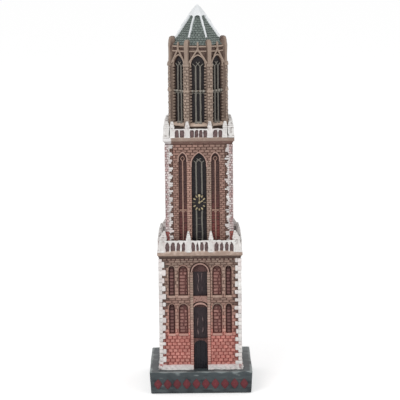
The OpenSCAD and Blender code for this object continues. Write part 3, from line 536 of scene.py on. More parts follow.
# even steps round a square; the last stretch before a corner lies on the corner's circle
def squareRing(count, half, corner):
    half, corner = (np.asarray(a, float).reshape(-1, 1, 1) for a in (half, corner))
    s = np.arange(count) * 4 / count
    k = s.astype(int)
    f = 2 * (s - k) - 1
    one = np.ones_like(f)
    p = grid(np.choose(k, [one, -f, -one, f]), np.choose(k, [f, one, -f, -one])) * half
    past = np.abs(p) - (half - corner)
    on = (past > 0).all(-1, keepdims=True)
    arc = past * corner / np.maximum(np.linalg.norm(past, axis=-1, keepdims=True), 1e-9)
    return np.where(on, np.sign(p) * (half - corner + arc), p)


# square sections stacked up an upright axis: profile rows are (half width, height)
def squareStack(profile, corner, count):
    half, up = np.asarray(profile, float).T
    rings = squareRing(count, half, np.minimum(corner, 0.9 * half))
    return grid(rings[..., 0], up[:, None], rings[..., 1])


# a profile of (radius, out) rows turned about an axis that stands out of a wall, stretched up and down
def turnedDisc(profile, count, height, out, stretch=1.0):
    a = np.arange(count) * 2 * math.pi / count
    r, w = np.asarray(profile, float).T[:, :, None]
    return grid(r * np.cos(a), height + r * stretch * np.sin(a), out + w)


# a piece stands for the node of its own name, written with underscores, where there is one
def makePiece(name, patches, paint, slotName, node=None, sharp=50):
    points = np.concatenate([p["points"] for p in patches]) * mm
    starts = np.cumsum([0] + [len(p["points"]) for p in patches])
    faces = [f + start for p, start in zip(patches, starts) for f in p["faces"]]
    sizes = np.concatenate([np.full(len(f), f.shape[1]) for f in faces])
    corners = np.concatenate([f.ravel() for f in faces])
    mesh = bpy.data.meshes.new(name)
    mesh.vertices.add(len(points))
    mesh.vertices.foreach_set("co", points.ravel())
    mesh.loops.add(len(corners))
    mesh.loops.foreach_set("vertex_index", corners.astype(np.int32))
    mesh.polygons.add(len(sizes))
    mesh.polygons.foreach_set("loop_start", (np.cumsum(sizes) - sizes).astype(np.int32))
    for label in ("relief", "tone", "hue"):
        values = np.concatenate([p[label] for p in patches]).astype(np.float32)
        mesh.attributes.new(label, "FLOAT", "POINT").data.foreach_set("value", values)
    mesh.update(calc_edges=True)
    mesh.polygons.foreach_set("use_smooth", np.ones(len(sizes), bool))
    mesh.set_sharp_from_angle(angle=math.radians(sharp))
    mesh.materials.append(bpy.data.materials[paint])
    piece = bpy.data.objects.new(name, mesh)
    bpy.context.scene.collection.objects.link(piece)
    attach(piece, "root")
    node = node or re.sub("[A-Z]", lambda letter: "_" + letter[0].lower(), name)
    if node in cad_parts:
        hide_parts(node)
    return piece


# Rows are name, maker, paint, slot and, where needed, a turn from the side and a sharp angle. Makers run side
# by side in the order given. A name with {side} or {corner} in it is one piece a side, any other name is one
# piece gathered from all sides.
def makeAround(angles, *rows):
    heaps = {}
    for k, angle in enumerate(angles):
        for name, make, paint, slotName, *more in rows:
            more = dict(*more)
            name = name.format(side=sideNames[k % 4], corner=cornerNames[k % 4])
            heap = heaps.setdefault(name, dict(patches=[], paint=paint, slotName=slotName,
                                               sharp=more.get("sharp", 50)))
            heap["patches"] += stand(make(k), angle + more.get("turn", 0))
    # pieces of one side come before the gathered ones
    for name, heap in sorted(heaps.items(), key=lambda item: "_" not in item[0]):
        makePiece(name, **heap)


# Base block, felt and frieze

# crest and rough are pairs of a row of the section, counted from the pad's hole, and the relief there
base = dict(corner=0.5, around=320, ripple=0.06, footSpread=22.04, topSpread=22.57, padHole=19.1,
            padDeep=0.85, edge=0.4, sideFoot=0.2, sideTop=0.45,
            topRings=(21.8, 21.3, 20.6, 19.8, 19.0, 18.2, 14.0),
            crest=((0, 0.2), (3, 0.42), (8, 0.5), (11, 0.8), (13, 1.2), (15, 1.3), (17, 0.9), (22, 0.88)),
            rough=((0, 0.4), (11, 0.45), (13, 0.4), (15, 0.35), (17, 0.12)))


# square sections up the leaning sides, round the edge and in across the top, dented by two waves
def buildBase():
    b = base
    lean = np.linspace(0, 1, 9)
    a = np.linspace(0, math.pi / 2, 5)[1:]
    foot = [[b["padHole"], baseFoot + b["padDeep"]], [b["padHole"], baseFoot],
            [b["footSpread"] - 0.3, baseFoot]]
    rise = baseTop - b["sideFoot"] - b["sideTop"] - baseFoot
    side = grid(b["footSpread"] + (b["topSpread"] - b["footSpread"]) * lean,
                baseFoot + b["sideFoot"] + rise * lean)
    edge = grid(b["topSpread"] - b["edge"] * (1 - np.cos(a)),
                baseTop - b["sideTop"] + b["edge"] * np.sin(a))
    profile = np.concatenate([foot, side, edge, grid(b["topRings"], baseTop)])
    rings = squareStack(profile, b["corner"], b["around"])
    out = rings * [1, 0, 1]
    out /= np.maximum(np.linalg.norm(out, axis=-1, keepdims=True), 1e-6)
    dent = b["ripple"] * wobble(rings, 7.0, 3) + 0.4 * b["ripple"] * wobble(rings, 2.2, 4)
    # sides are dented outwards and the top upwards, the foot stays flat
    row, sideRow = np.arange(len(profile)), len(foot)
    topRow = sideRow + len(side) + len(edge) - 1
    push = np.where((row < topRow)[:, None, None], out, [0, 1.0, 0])
    rings[sideRow:] += dent[sideRow:, :, None] * push[sideRow:] - [0, 0.03, 0]
    crest, rough = (np.interp(row, *np.array(b[key]).T)[:, None] for key in ("crest", "rough"))
    return [loft(rings, crest + rough * wobble(rings * [1, 2, 1], 4.5, 5))]


makePiece("baseBlock", stand(buildBase()), "basePaint", "base_paint", sharp=70)

frieze = dict(count=10, width=3.6, height=4.8, pitch=4.2, centre=4.5, lift=0.5, sunk=0.3)


# lozenge outline |x| + |y| = 1, softened, shrinking to the crown while its height follows a quarter ellipse
def buildFrieze():
    f = frieze
    a = np.linspace(0, 0.92, 7) * math.pi / 2
    lozenge = np.cos(a)[:, None, None] * section(2.0, 2.0, 24, 1.25) * [f["width"] / 2, f["height"] / 2]
    slope = (base["topSpread"] - base["footSpread"]) / (baseTop - base["sideFoot"] - base["sideTop"])
    patches = []
    for k in range(f["count"]):
        rings = np.concatenate([lozenge[:1], lozenge]) + 0.05 * chance.uniform(-1, 1, 2)
        u = rings[..., 0] + (k - (f["count"] - 1) / 2) * f["pitch"]
        v = rings[..., 1] + f["centre"]
        w = base["footSpread"] + (v - baseFoot) * slope
        w = w + np.concatenate([[-f["sunk"]], f["lift"] * np.sin(a)])[:, None]
        relief = np.concatenate([[0], 0.2 + 0.8 * np.sin(a)])
        patches.append(loft(grid(u, v, w), relief[:, None], chance.uniform(-1, 1)))
    return patches


makePiece("baseFrieze", stand(buildFrieze()), "friezeRed", "frieze_red", sharp=80)

# rows across the pad and round its edge: in from the edge, height
felt = dict(half=19.0, thick=1.0, corner=0.8, fuzz=0.05, fibre=2600.0, dark=(38, 50, 40), light=(74, 92, 74),
            rows=((13, 0.02), (9, 0.02), (5, 0.02), (2, 0.02), (0.25, 0.0), (0.06, 0.15), (0, 0.5),
                  (0.06, 0.85), (0.25, 0.97)))


# square sections out along the underside and round the edge, with a fine wave on the underside
def buildFelt():
    inset, up = np.array(felt["rows"]).T
    rings = squareStack(grid(felt["half"] - inset, up), felt["corner"], 200)
    rings[:5, :, 1] += 0.02 + felt["fuzz"] * 0.3 * wobble(rings[:5], 1.5, 8)
    rings[..., 1] = np.clip(rings[..., 1], 0, felt["thick"])
    return [loft(rings, 0.7 + 0.3 * wobble(rings, 0.9, 9))]


def feltFinish():
    _, tree, shader = newMaterial("greenFelt")
    fibre = noise(tree, objectPlace(tree), felt["fibre"], 6.0, 0.75)
    shade = mixColour(tree, ease(tree, fibre, 0.3, 0.7), linear(*felt["dark"]), linear(*felt["light"]))
    setInputs(tree, shader, {"Base Color": shade, "Normal": bumpNormal(tree, fibre, 0.8, 0.3),
                             "Roughness": scaleAdd(tree, fibre, 0.1, 0.88), "Sheen Weight": 0.4,
                             "Specular IOR Level": 0.1})


feltFinish()
feltPad = makePiece("feltPad", stand(buildFelt()), "greenFelt", "felt", sharp=80)
print("base, frieze and felt done")


# Lower stage

# rows from the wall out and back up: out, height, skirt, relief, hue
footCourse = dict(out=0.95, height=2.4, gap=3.2, rows=(
    (-0.6, 0.0, 0, 0, 0.1), (1.35, 0.0, 0.3, 0.5, 0.1), (1.3, 0.03, 0.3, 0.7, 0.1),
    (1.08, 0.08, 0.1, 0.8, 0.1), (1.02, 0.25, 0, 1, 0.2), (0.92, 0.55, 0, 1, 0.3), (0.8, 0.78, 0, 0.95, 0.45),
    (0.55, 0.93, 0, 0.8, 0.65), (0.2, 0.98, 0, 0.6, 0.9), (-0.6, 1.0, 0, 0.4, 1)))


# a soft-edged kerb with a skirt of spilt paint; its height, front and skirt waver along the wall
def buildFootCourse(seed):
    out, up, skirt, relief, hue = np.array(footCourse["rows"]).T
    patches = []
    for s in (-1, 1):
        u = np.linspace(footCourse["gap"], lowerHalf + footCourse["out"] - 0.1, 60) * s
        rings = grid(u[:, None], baseTop + up * footCourse["height"], lowerHalf + out * footCourse["out"])
        ripple = wobble(rings, 2.6, seed + s)
        rings[..., 1] += 0.36 * ripple * (up > 0.1)
        rings[..., 2] += 0.22 * wobble(rings * [1, 2, 1], 2.2, seed + 7) * (out > 0.1) - 0.1
        rings[..., 2] += skirt * (wobble(rings[:, :1] * [1, 0, 0], 4.0, seed + 9) - 0.3)
        patches.append(loft(rings, relief + 0.3 * ripple, 0.0, hue + 0.3 * ripple))
    return patches


makeAround(sideAngles, ("footCourse", lambda k: buildFootCourse(20 + 3 * k), *white))

quoins = dict(thick=0.6, short=1.6, long=2.9, course=1.76, joint=0.02, grow=1.26, deep=0.42, foot=1.9)


# rough corner blocks with teeth by turns on either face
def buildQuoins():
    q = quoins
    foot = baseTop + q["foot"]
    n = round((lowerTop - foot) / q["course"])
    step = (lowerTop - foot) / n
    z = foot + (np.arange(n) + 0.5) * step
    tall = step / 2 - q["joint"] / 2
    outer = lowerHalf + q["thick"] - 0.03
    corner = outer - q["short"] / 2
    post = blocks(grid(corner, z, corner), [q["short"] / 2, tall, q["short"] / 2], 0.26, shown="uw",
                  loose=0.1, hue=chance.uniform(0, 0.3, n))
    reach = (q["long"] - q["short"]) / 2 + 0.15
    tooth = outer - q["short"] - reach + 0.3
    deep = lowerHalf + 0.12
    even = np.arange(n) % 2 == 0
    u = np.where(even, tooth + chance.uniform(-0.25, 0.2, n), deep)
    w = np.where(even, deep, tooth + chance.uniform(-0.25, 0.2, n))
    size = grid(np.where(even, reach, q["deep"]), tall * q["grow"] * chance.uniform(0.86, 1.1, n),
                np.where(even, q["deep"], reach))
    teeth = blocks(grid(u, z, w), size, 0.42, shown="uw", loose=0.26, hue=chance.uniform(0, 0.3, n))
    return [post, teeth]


makeAround(sideAngles, ("lowerQuoin_{corner}", lambda k: buildQuoins(), *white))

# rows are the feet and tops of the two rows of windows, windows their places and half widths; brown, tan,
# redSide and endPaintedShade are where a colour, or the painted shade on the wall's ends, starts and how far
# it takes to come in full
lowerWall = dict(rows=((26.3, 39.5), (43.3, 56.5)), windows=((7.425, 1.975), (12.45, 1.25)), portalHalf=4.46,
                 portalSpring=53.6, portalRise=4.11, depth=1.0, proud=0.26, course=1.4, length=2.12,
                 stackCourse=1.46, stackLength=1.9, edge=16.6, dadoTop=25.2, underSill=1.1, underHead=0.7,
                 dentil=0.75, dentils=17, brown=(24.5, 4.5), tan=(37, 14), redSide=(12.5, 3),
                 endPaintedShade=(15.2, 1.2), paneCourse=1.48, paneBrick=1.4, paneJoint=0.34, stripHalf=16.2)
lowerWindows = [opening(s * x, half, foot, top - half, half) for x, half in lowerWall["windows"]
                for s in (-1, 1) for foot, top in lowerWall["rows"]]
portalOpening = opening(0.0, lowerWall["portalHalf"], 0.0, lowerWall["portalSpring"], lowerWall["portalRise"])


# red below the sills, brown and tan above, redder beside the quoins
def wallHue(rects):
    w = lowerWall
    u, z = rects[:, :2].mean(1), rects[:, 2:].mean(1)
    brown, tan, side = climb(z, *w["brown"]), climb(z, *w["tan"]), climb(np.abs(u), *w["redSide"])
    hue = 0.5 * brown + 0.38 * tan - 0.09 * side * (1 - 0.5 * tan)
    return np.clip(hue + chance.uniform(-0.1, 0.1, len(rects)), 0, 1)


# courses zone by zone (foot, top, course, length, light, joint), with painted shade on the ends that show
# between the quoins' teeth
def buildLowerBricks():
    w = lowerWall
    course, sill, head, edge = w["course"], w["underSill"], w["underHead"], w["edge"]
    (_, top0), (foot1, top1) = w["rows"]
    zones = [(baseTop + quoins["foot"], w["dadoTop"], 1.1 * course, w["length"], 0.0, 0.27)]
    zones += [(foot - sill, top - head, w["stackCourse"], w["stackLength"], 1.9, 0.22)
              for foot, top in w["rows"]]
    zones += [(top0 - head, foot1 - sill, 0.8 * course, 2.8, -0.7, 0.27),
              (top1 - head, lowerTop - w["dentil"], 0.9 * course, 2.7, -0.8, 0.27)]
    holes = lowerWindows + [portalOpening]
    patches = []
    for foot, top, tall, length, light, joint in zones:
        rects = layCourses(-edge, edge, foot, top, tall, length, holes, joint)
        # painted shade on the ends that show between the quoins' teeth
        shade = climb(np.abs(rects[:, :2]).max(1), *w["endPaintedShade"]) * (3.2 if top == w["dadoTop"] else 6.0)
        hue = np.clip(wallHue(rects) - 0.02 * max(light, 0), 0, 1)
        patches.append(bricks(rects, lowerHalf - 0.3, lowerHalf + w["proud"], 0.2, hue=hue,
                              tone=np.maximum(light - shade, -4.3)))
    return patches


# bricks that show in the backs of the blind windows, darkened under their heads with painted shadow, and a
# strip of painted shadow behind the dentils
def buildRecessBricks():
    tall, strip = lowerWall["paneBrick"], lowerWall["stripHalf"]
    back = lowerHalf - lowerWall["depth"]
    patches = []
    for o in lowerWindows:
        rects = []
        for low in np.arange(o["foot"] + 0.1, o["top"] - tall / 2, lowerWall["paneCourse"]):
            half = openHalf(o, low + tall / 2) - 0.1
            if half > 0.35:
                rects.append(layCourses(o["x"] - half, o["x"] + half, low, low + tall, tall,
                                        chance.uniform(1.8, 3.2), joint=lowerWall["paneJoint"]))
        rects = np.concatenate(rects)
        inner = 1.0 if o["half"] > 1.5 else 0.0
        hue = np.clip(inner + chance.uniform(-0.3, 0.15, len(rects)), 0, 1)
        # painted shadow under the window's head
        shade = 4.5 * climb(rects[:, 2], o["top"] - 4.2, 2.2) - 0.5
        patches.append(bricks(rects, back - 0.2, back + 0.42, 0.3, 0.14, hue=hue, tone=-shade))
        wide = o["half"] + 0.3
        behind = [[o["x"] - wide, o["x"] + wide, o["foot"] - 0.3, o["top"] + 0.3]]
        patches.append(bricks(behind, back - 0.3, back + 0.08, 0.02, 0.0, hue=inner, dry=1.0))
    shadow = [[-strip, strip, lowerTop - 0.85, lowerTop + 0.1]]
    return patches + [bricks(shadow, lowerHalf - 0.3, lowerHalf + 0.05, 0.02, 0.0, dry=0.9)]


# thick sills under the windows
def buildSills():
    patches = []
    for o in lowerWindows:
        hue = float(np.clip(0.2 + (o["foot"] - 26) / 30 + chance.uniform(-0.1, 0.1), 0, 1))
        patches.append(blocks([o["x"], o["foot"] - 0.6, lowerHalf + 0.2], [o["half"] + 0.28, 0.58, 0.5], 0.36,
                              loose=0.06, hue=hue))
    return patches


# stone rolls round the window heads
def buildHeadRolls():
    return [moulding(archLine(o["half"] + 0.2, o["spring"], o["rise"] + 0.2, leg=0.4, count=8, x=o["x"]),
                     section(0.5, 0.6, 8), lowerHalf + 0.05, hue=chance.uniform(0.5, 1), tone=-0.8)
            for o in lowerWindows]


# dentil row under the gallery
def buildDentils():
    count, tall = lowerWall["dentils"], lowerWall["dentil"]
    pitch = (lowerHalf - 1.2) / count
    u = (np.arange(count) - (count - 1) / 2) * 2 * pitch
    return [blocks(grid(u, lowerTop - 0.4, lowerHalf + 0.05), [pitch - 0.26, tall / 2, 0.3], 0.14, loose=0.12,
                   hue=chance.uniform(0.7, 1, count), tone=chance.uniform(-2.2, -0.8, count))]


makeAround(sideAngles,
           ("lowerBricks", lambda k: buildLowerBricks() + buildHeadRolls() + buildDentils(), *brickwork),
           ("recessBricks", lambda k: buildRecessBricks(), "recessPaint", "brick_wall"),
           ("lowerSills", lambda k: buildSills(), *trim))
mortarFinish("lower_tower", "lowerMortar", low=(140, 75, 69), high=(108, 85, 77), foot=22, top=38)

portal = dict(half=3.1, outer=4.41, slot=1.8, front=0.42, bead=1.12, roll=0.6, fill=3.2, doorTop=22.8,
              doorHalf=3.08, doorTaper=0.1, doorSpring=20.9, lowFoot=23.5, lowTop=38.5, hood=39.55,
              hoodHalf=2.95, hoodDrop=2.1, panel=40.5, panelDrop=1.9, highFoot=42.8, highTop=56.7,
              headFeet=(53.6, 37.7))
slotBack = lowerHalf - portal["slot"]


# drop of a flat arch: how far an ellipse falls from its crown at a share t of its half width
def flatArch(t):
    return 1 - np.sqrt(1 - 0.94 * t ** 2)


# beaded posts, a pale jointed roll over the upper window, a stone panel between the windows and a hood
def buildPortal():
    p = portal
    front = lowerHalf + p["front"]
    mid, deep = (slotBack + front) / 2, (front - slotBack) / 2
    spring = p["highTop"] - p["half"]
    n = round((spring - baseTop) / p["bead"])
    z = baseTop + (np.arange(n) + 0.5) * (spring - baseTop) / n
    hue = np.clip(0.1 + (z - 22) / 22, 0.05, 0.85)
    light = np.interp(z, [22, 30, 50], [0.6, -0.1, -0.9])
    size = [(p["outer"] - p["half"]) / 2, p["bead"] / 2 - 0.05, deep]
    patches = []
    for s in (-1, 1):
        beadHue = hue + chance.uniform(-0.15, 0.15, n)
        beadTone = light + 0.4 * s + chance.uniform(-1, 1, n)
        patches.append(blocks(grid(s * (p["half"] + p["outer"]) / 2, z, mid), size, 0.18, shown="uw",
                              loose=0.05, hue=beadHue, tone=beadTone))
    line = archLine(p["half"] + p["roll"], spring, p["half"] + p["roll"], count=26)
    joint = np.exp(-(((np.arange(len(line)) + 2) % 5 - 2) / 0.6) ** 2)
    roll = moulding(line, section(0.72, 2 * deep, 14), mid, 1 - 0.07 * joint, hue=0.5, tone=-1.0, low=0.3)
    t = np.linspace(-1, 1, 30)
    foot = (p["panel"] - p["panelDrop"] * flatArch(t))[:, None]
    v = foot + (p["highFoot"] - foot) * np.linspace(0, 1, 16)
    panel = roughSlab(grid(p["fill"] * t[:, None], v, lowerHalf - 0.1), slotBack, 1.3, 61, lift=0.12,
                      relief=0.62, gain=0.5, tone=-1.5, hue=0.4)
    line = grid(p["hoodHalf"] * t, p["hood"] - p["hoodDrop"] * flatArch(t))
    hood = moulding(line, section(0.95, 1.5, 12), lowerHalf - 0.4, 1 - 0.55 * t ** 2, hue=0.45, tone=0.2)
    return patches + [roll, panel, hood]


# dark panes with hanging folds: two swaying ridges, each a bell curve across the pane, faded at both ends
def buildPanes(seed):
    p = portal
    patches = []
    for foot, top, reach in ((p["lowFoot"] - 0.4, p["lowTop"], p["panel"] + 0.6),
                             (p["highFoot"] - 0.3, p["highTop"], p["highTop"])):
        u = np.linspace(-p["fill"], p["fill"], 48)[:, None]
        v = np.linspace(foot, reach, 70)
        flat = grid(u, v, 0)
        bend = 0.4 * wobble(flat * [0.15, 1, 1], 6.0, seed)
        fold = np.exp(-((u + bend + 1.0) / 0.28) ** 2) + 0.8 * np.exp(-((u - 0.7 * bend - 0.85) / 0.28) ** 2)
        fold *= climb(top - v, 2.6, 1.5) * climb(v - foot, 0.8, 1.5)
        fold *= np.clip(0.62 + 0.5 * wobble(flat * [1.7, 1, 1], 3.6, seed + 1), 0, 1)
        front = slotBack + 0.3 + 0.45 * fold + 0.06 * wobble(flat, 1.4, seed + 2)
        relief = 0.38 + 1.3 * fold + 0.1 * wobble(flat, 1.2, seed + 3)
        patches.append(slab(grid(u, v, front), slotBack - 0.3, relief))
        seed += 5
    return patches


# brown infill in the heads of the portal windows, a circle's segment darkened with painted shade under the
# arch, and spandrels over the door, from its elliptic head up to the uneven edge of the window above it
def buildPaneHeads(seed):
    p = portal
    patches = []
    for foot, top in zip(p["headFeet"], (p["highTop"], p["lowTop"] + 0.7)):
        v = np.linspace(foot, top - 0.05, 16)[:, None]
        half = np.sqrt(np.clip(p["half"] ** 2 - (v - top + p["half"]) ** 2, 0.1, None))
        face = grid(half * np.linspace(-1, 1, 24), v, slotBack + 0.62)
        patches.append(roughSlab(face, slotBack, 0.9, seed, lift=0.14, relief=0.5, gain=0.4, tone=-3.6,
                                 hue=0.12))
    t = np.linspace(-1, 1, 30)[:, None]
    u = p["fill"] * t
    head = p["doorHalf"] * (1 - p["doorTaper"])
    foot = p["doorSpring"] + (p["doorTop"] - p["doorSpring"]) * np.sqrt(np.clip(1 - (u / head) ** 2, 0, 1))
    top = p["lowFoot"] + 0.25 + 0.2 * wobble(grid(u, 0, 0), 1.6, 63)
    face = grid(u, foot + (top - foot) * np.linspace(0, 1, 8), slotBack + 0.95)
    face[..., 2] += 0.1 * wobble(face, 1.1, 64)
    return patches + [slab(face, slotBack, 0.5 + 0.35 * wobble(face, 1.0, 65), -3.2, t ** 2)]


# door leaf with planks: its half width shrinks a little up to the springing and follows an ellipse above it
def buildDoor(seed):
    p = portal
    v = np.linspace(baseTop, p["doorTop"] - 0.05, 44)
    up = climb(v, p["doorSpring"], p["doorTop"] - p["doorSpring"])
    taper = 1 - p["doorTaper"] * climb(v, baseTop, p["doorSpring"] - baseTop)
    half = p["doorHalf"] * taper * np.sqrt(np.clip(1 - up ** 2, 0.02, 1))
    u = half * np.linspace(-1, 1, 45)[:, None]
    plank = np.abs(np.sin(u * math.pi / 1.1)) ** 0.5
    front = slotBack + 0.3 + 0.14 * plank + 0.05 * wobble(grid(u, v, 0), 2.0, seed)
    return [slab(grid(u, v, front), slotBack - 0.2, 0.3 + 0.4 * plank)]


makeAround(sideAngles,
           ("portalFrame_{side}", lambda k: buildPortal(), *trim),
           ("portalPanes", lambda k: buildPanes(70 + 20 * k), "portalDark", "dark_window"),
           ("portalDoors", lambda k: buildDoor(150 + k), "doorBlack", "dark_window"),
           ("portalHeads", lambda k: buildPaneHeads(160 + k), "recessPaint", "dark_window"))
print("lower stage done")


# Galleries

lowerGallery = dict(label="lower", foot=lowerTop, top=middleFoot, half=lowerDeckHalf, wall=lowerHalf,
                    parapet=5.3, cornerWidth=3.2, pinnacles=(4.9,), pinnacleWidth=2.0, tip=9.15, mound=0.75,
                    dark=0.0, spill=0.0, slim=0.76, lean=1.6, blunt=0.32, paintedShade=0.0, seed=200)
upperGallery = dict(label="upper", foot=middleTop, top=lanternFoot, half=upperDeckHalf, wall=middleHalf,
                    parapet=4.1, cornerWidth=2.6, pinnacles=(4.9, 11.5), pinnacleWidth=2.0, tip=7.05,
                    mound=0.3, dark=0.42, spill=3.6, slim=0.46, lean=0.5, blunt=0.5, paintedShade=0.15, seed=260)
pinnacleInset = 0.1


def pinnacleLine(g):
    return sorted([-x for x in g["pinnacles"]] + list(g["pinnacles"]))


# the deck's profile from the wall out to a rounded slab and in again; its top swells between the pinnacles
def buildDeck(g):
    wall, half, foot, top = g["wall"], g["half"], g["foot"], g["top"]
    reach = half - wall
    # half width, height, relief, share of the swell
    rows = [[wall - 3, foot + 0.05, 0.1, 0], [wall + 0.1, foot + 0.05, 0.1, 0],
            [wall + 0.28 * reach, foot + 0.12, 0.1, 0], [wall + 0.32 * reach, foot + 0.55, 0.16, 0],
            [wall + 0.56 * reach, foot + 0.68, 0.22, 0], [wall + 0.6 * reach, foot + 1.1, 0.06, 0],
            [half - 0.3, foot + 1.22, 0.06, 0], [half - 0.04, foot + 1.36, 0.6, 0],
            [half, foot + 1.75, 0.95, 0], [half - 0.01, top - 0.5, 0.95, 0.2],
            [half - 0.14, top - 0.18, 1.12, 0.8], [half - 0.5, top - 0.06, 1, 1], [half - 1.0, top, 0.85, 1],
            [half - 1.7, top, 0.6, 0.6], [wall - 2.5, top, 0.4, 0]]
    rows = np.array(rows)
    relief, share = rows[:, 2:].T[:, :, None]
    rings = squareStack(rows[:, :2], 0.7, 400)
    x, _, y = np.moveaxis(rings, -1, 0)
    along = np.where(np.abs(x) > np.abs(y), y, x)
    corner = half - g["cornerWidth"]
    edges = np.array([-corner, *pinnacleLine(g), corner])
    middles, spans = (edges[:-1] + edges[1:]) / 2, (edges[1:] - edges[:-1]) / 2
    mound = (1 - ((along[..., None] - middles) / spans) ** 2).max(-1)
    rings[..., 1] += g["mound"] * np.clip(mound, 0, 1) ** 0.8 * share
    dent = wobble(rings, 3.4, g["seed"])
    rings[1:, :, 1] += 0.05 * dent[1:]
    out = rings * [1, 0, 1]
    out /= np.linalg.norm(out, axis=-1, keepdims=True)
    rings[2:12] += 0.05 * (wobble(rings[2:12], 2.1, g["seed"] + 1) - 0.9)[..., None] * out[2:12]
    # white paint spilled over one front corner
    spill = climb(g["spill"] - np.hypot(rings[..., 0] + half, rings[..., 2] - half) + 0.6 * dent, 0, 0.5)
    return [loft(rings, relief + 0.15 * dent + 0.3 * spill, 0.0, g["dark"] + (1 - g["dark"]) * spill)]


# a pinnacle: plinth, panelled shaft, cap and a spire with two worn ledges; it leans in with its height
def buildPinnacle(g, width, u, w, seed, lean, paintedShade=0.0):
    h, shaft = width / 2, g["parapet"] + 0.4
    neck, cap = h - 0.06, shaft + 0.6
    # half width, height, depth of the panel, relief
    rows = [[h, 0.0, 0, 0.55], [h + 0.1, 0.2, 0, 1], [h + 0.1, 0.6, 0, 0.95], [h + 0.02, 0.85, 0, 0.5],
            [h, 1.2, 0.8, 0.75], [h, shaft * 0.5, 1, 1], [h, shaft - 0.35, 1, 0.85],
            [h + 0.04, shaft - 0.1, 0.4, 0.42], [h + 0.1, shaft + 0.05, 0, 1],
            [h + 0.08, shaft + 0.4, 0, 0.95], [neck, cap, 0, 0.36]]
    for t, ledge, light in ((0.3, 0.06, 1), (0.36, 0, 0.4), (0.62, 0.06, 1), (0.68, 0, 0.42), (0.95, 0.06, 1),
                            (1.0, -0.4 * g["blunt"], 1)):
        rows.append([neck * (1 - t) + g["blunt"] * t + ledge, cap + (g["tip"] - cap) * t, 0, light])
    rows = np.array(rows)
    deep, relief = rows[:, 2:].T[:, :, None]
    rings = squareStack(rows[:, :2], 0.28, 40)
    across = np.minimum(np.abs(rings[..., 0]), np.abs(rings[..., 2])) / rows[:, :1]
    panel = np.clip((0.62 - across) * 6, 0, 1) * deep
    rings[..., [0, 2]] *= 1 - 0.1 * panel[..., None]
    ripple = wobble(rings + [u, 0, w], 1.5, seed)
    rings[1:-1, :, [0, 2]] *= 1 + 0.06 * (ripple[1:-1, :, None] - 0.5)
    rings -= np.array([lean[0], 0, lean[1]]) * rings[..., 1:2] / g["tip"]
    # the last argument lowers the whole relief, a painted shade on a pinnacle that stands in shade
    return [loft(rings + [u, g["top"] - 0.02, w], relief - 0.3 * panel + 0.3 * ripple - paintedShade, 0.0,
                 chance.uniform(0, 0.12))]


def buildCornerPinnacle(g, seed, paintedShade):
    at = g["half"] - pinnacleInset - g["cornerWidth"] / 2
    return buildPinnacle(g, g["cornerWidth"], at, at, seed, (g["lean"], g["lean"]), paintedShade)


def buildFacePinnacles(g, seed):
    at = g["half"] - pinnacleInset - g["pinnacleWidth"] / 2
    return [p for x in g["pinnacles"] for s in (-1, 1)
            for p in buildPinnacle(g, g["pinnacleWidth"], s * x, at, seed + s, (0, 0.5))]


# stretches between the pinnacles that are wide enough for balusters
def bayEdges(g):
    corner = g["half"] - pinnacleInset - g["cornerWidth"]
    h = g["pinnacleWidth"] / 2
    lefts = [-corner] + [x + h for x in pinnacleLine(g)]
    rights = [x - h for x in pinnacleLine(g)] + [corner]
    return [(a + 0.05, b - 0.05) for a, b in zip(lefts, rights) if b - a > 1.2]


balusters = dict(pitch=2.1, heights=(0.0, 0.12, 0.3, 0.45, 0.6, 0.72, 0.82, 0.92, 1.0),
                 widths=(0.32, 0.25, 0.2, 0.18, 0.19, 0.23, 0.32, 0.46, 0.66), depth=0.36, face=0.2,
                 setBack=0.42, railBack=0.52, wallFront=0.72, wallBack=1.1)


# white balusters that flare into the rail like small brackets, and a wavering rail
def buildBalustrade(g, seed):
    b = balusters
    face = g["half"] - b["face"]
    up = np.array(b["heights"]) * (g["parapet"] - 0.75)
    ring = section(2.0, 2.0, 10, 3.0)
    patches = []
    for left, right in bayEdges(g):
        n = round((right - left) / b["pitch"]) if right - left > 5 else 2
        step = (right - left) / n
        u = np.linspace(left - 0.2, right + 0.2, 40)
        v = g["top"] + g["parapet"] - 0.45 + (0.12 * wobble(grid(u, 0, 0), 3.0, seed) - 0.05)
        swell = np.clip(1 + 0.22 * wobble(grid(u, 0, 0), 1.6, seed + 40), 0.7, 1.1)
        patches.append(moulding(grid(u, v), section(0.15 * g["parapet"], 0.95, 12, 3.0),
                                face - b["railBack"], swell, hue=chance.uniform(0, 0.25), low=0.4))
        for k in range(n + 1):
            grow = np.array(b["widths"]) * step * g["slim"] * chance.uniform(0.65, 1.35, len(up))
            x = np.clip(left + k * step + chance.uniform(-0.25, 0.25), left, right)
            lean = chance.uniform(-0.2, 0.2) * (up / up[-1])
            rings = grid(x + lean[:, None] + grow[:, None] * ring[:, 0], g["top"] + 0.02 + up[:, None],
                         face - b["setBack"] + b["depth"] * ring[:, 1])
            relief = np.clip(0.55 + 0.6 * ring[:, 1], 0.1, 1)
            patches.append(loft(rings, relief, 0.0, chance.uniform(0, 0.3)))
        seed += 1
    return patches


# brown back of the parapet, behind the balusters
def buildParapetBack(g, seed):
    face = g["half"] - balusters["face"]
    v = np.linspace(g["top"] - 0.1, g["top"] + g["parapet"] - 0.3, 12)
    patches = []
    for left, right in bayEdges(g):
        front = grid(np.linspace(left - 0.3, right + 0.3, 30)[:, None], v, face - balusters["wallFront"])
        patches.append(roughSlab(front, face - balusters["wallBack"], 1.6, seed, lift=0.05, relief=0.5,
                                 gain=0.3))
    return patches


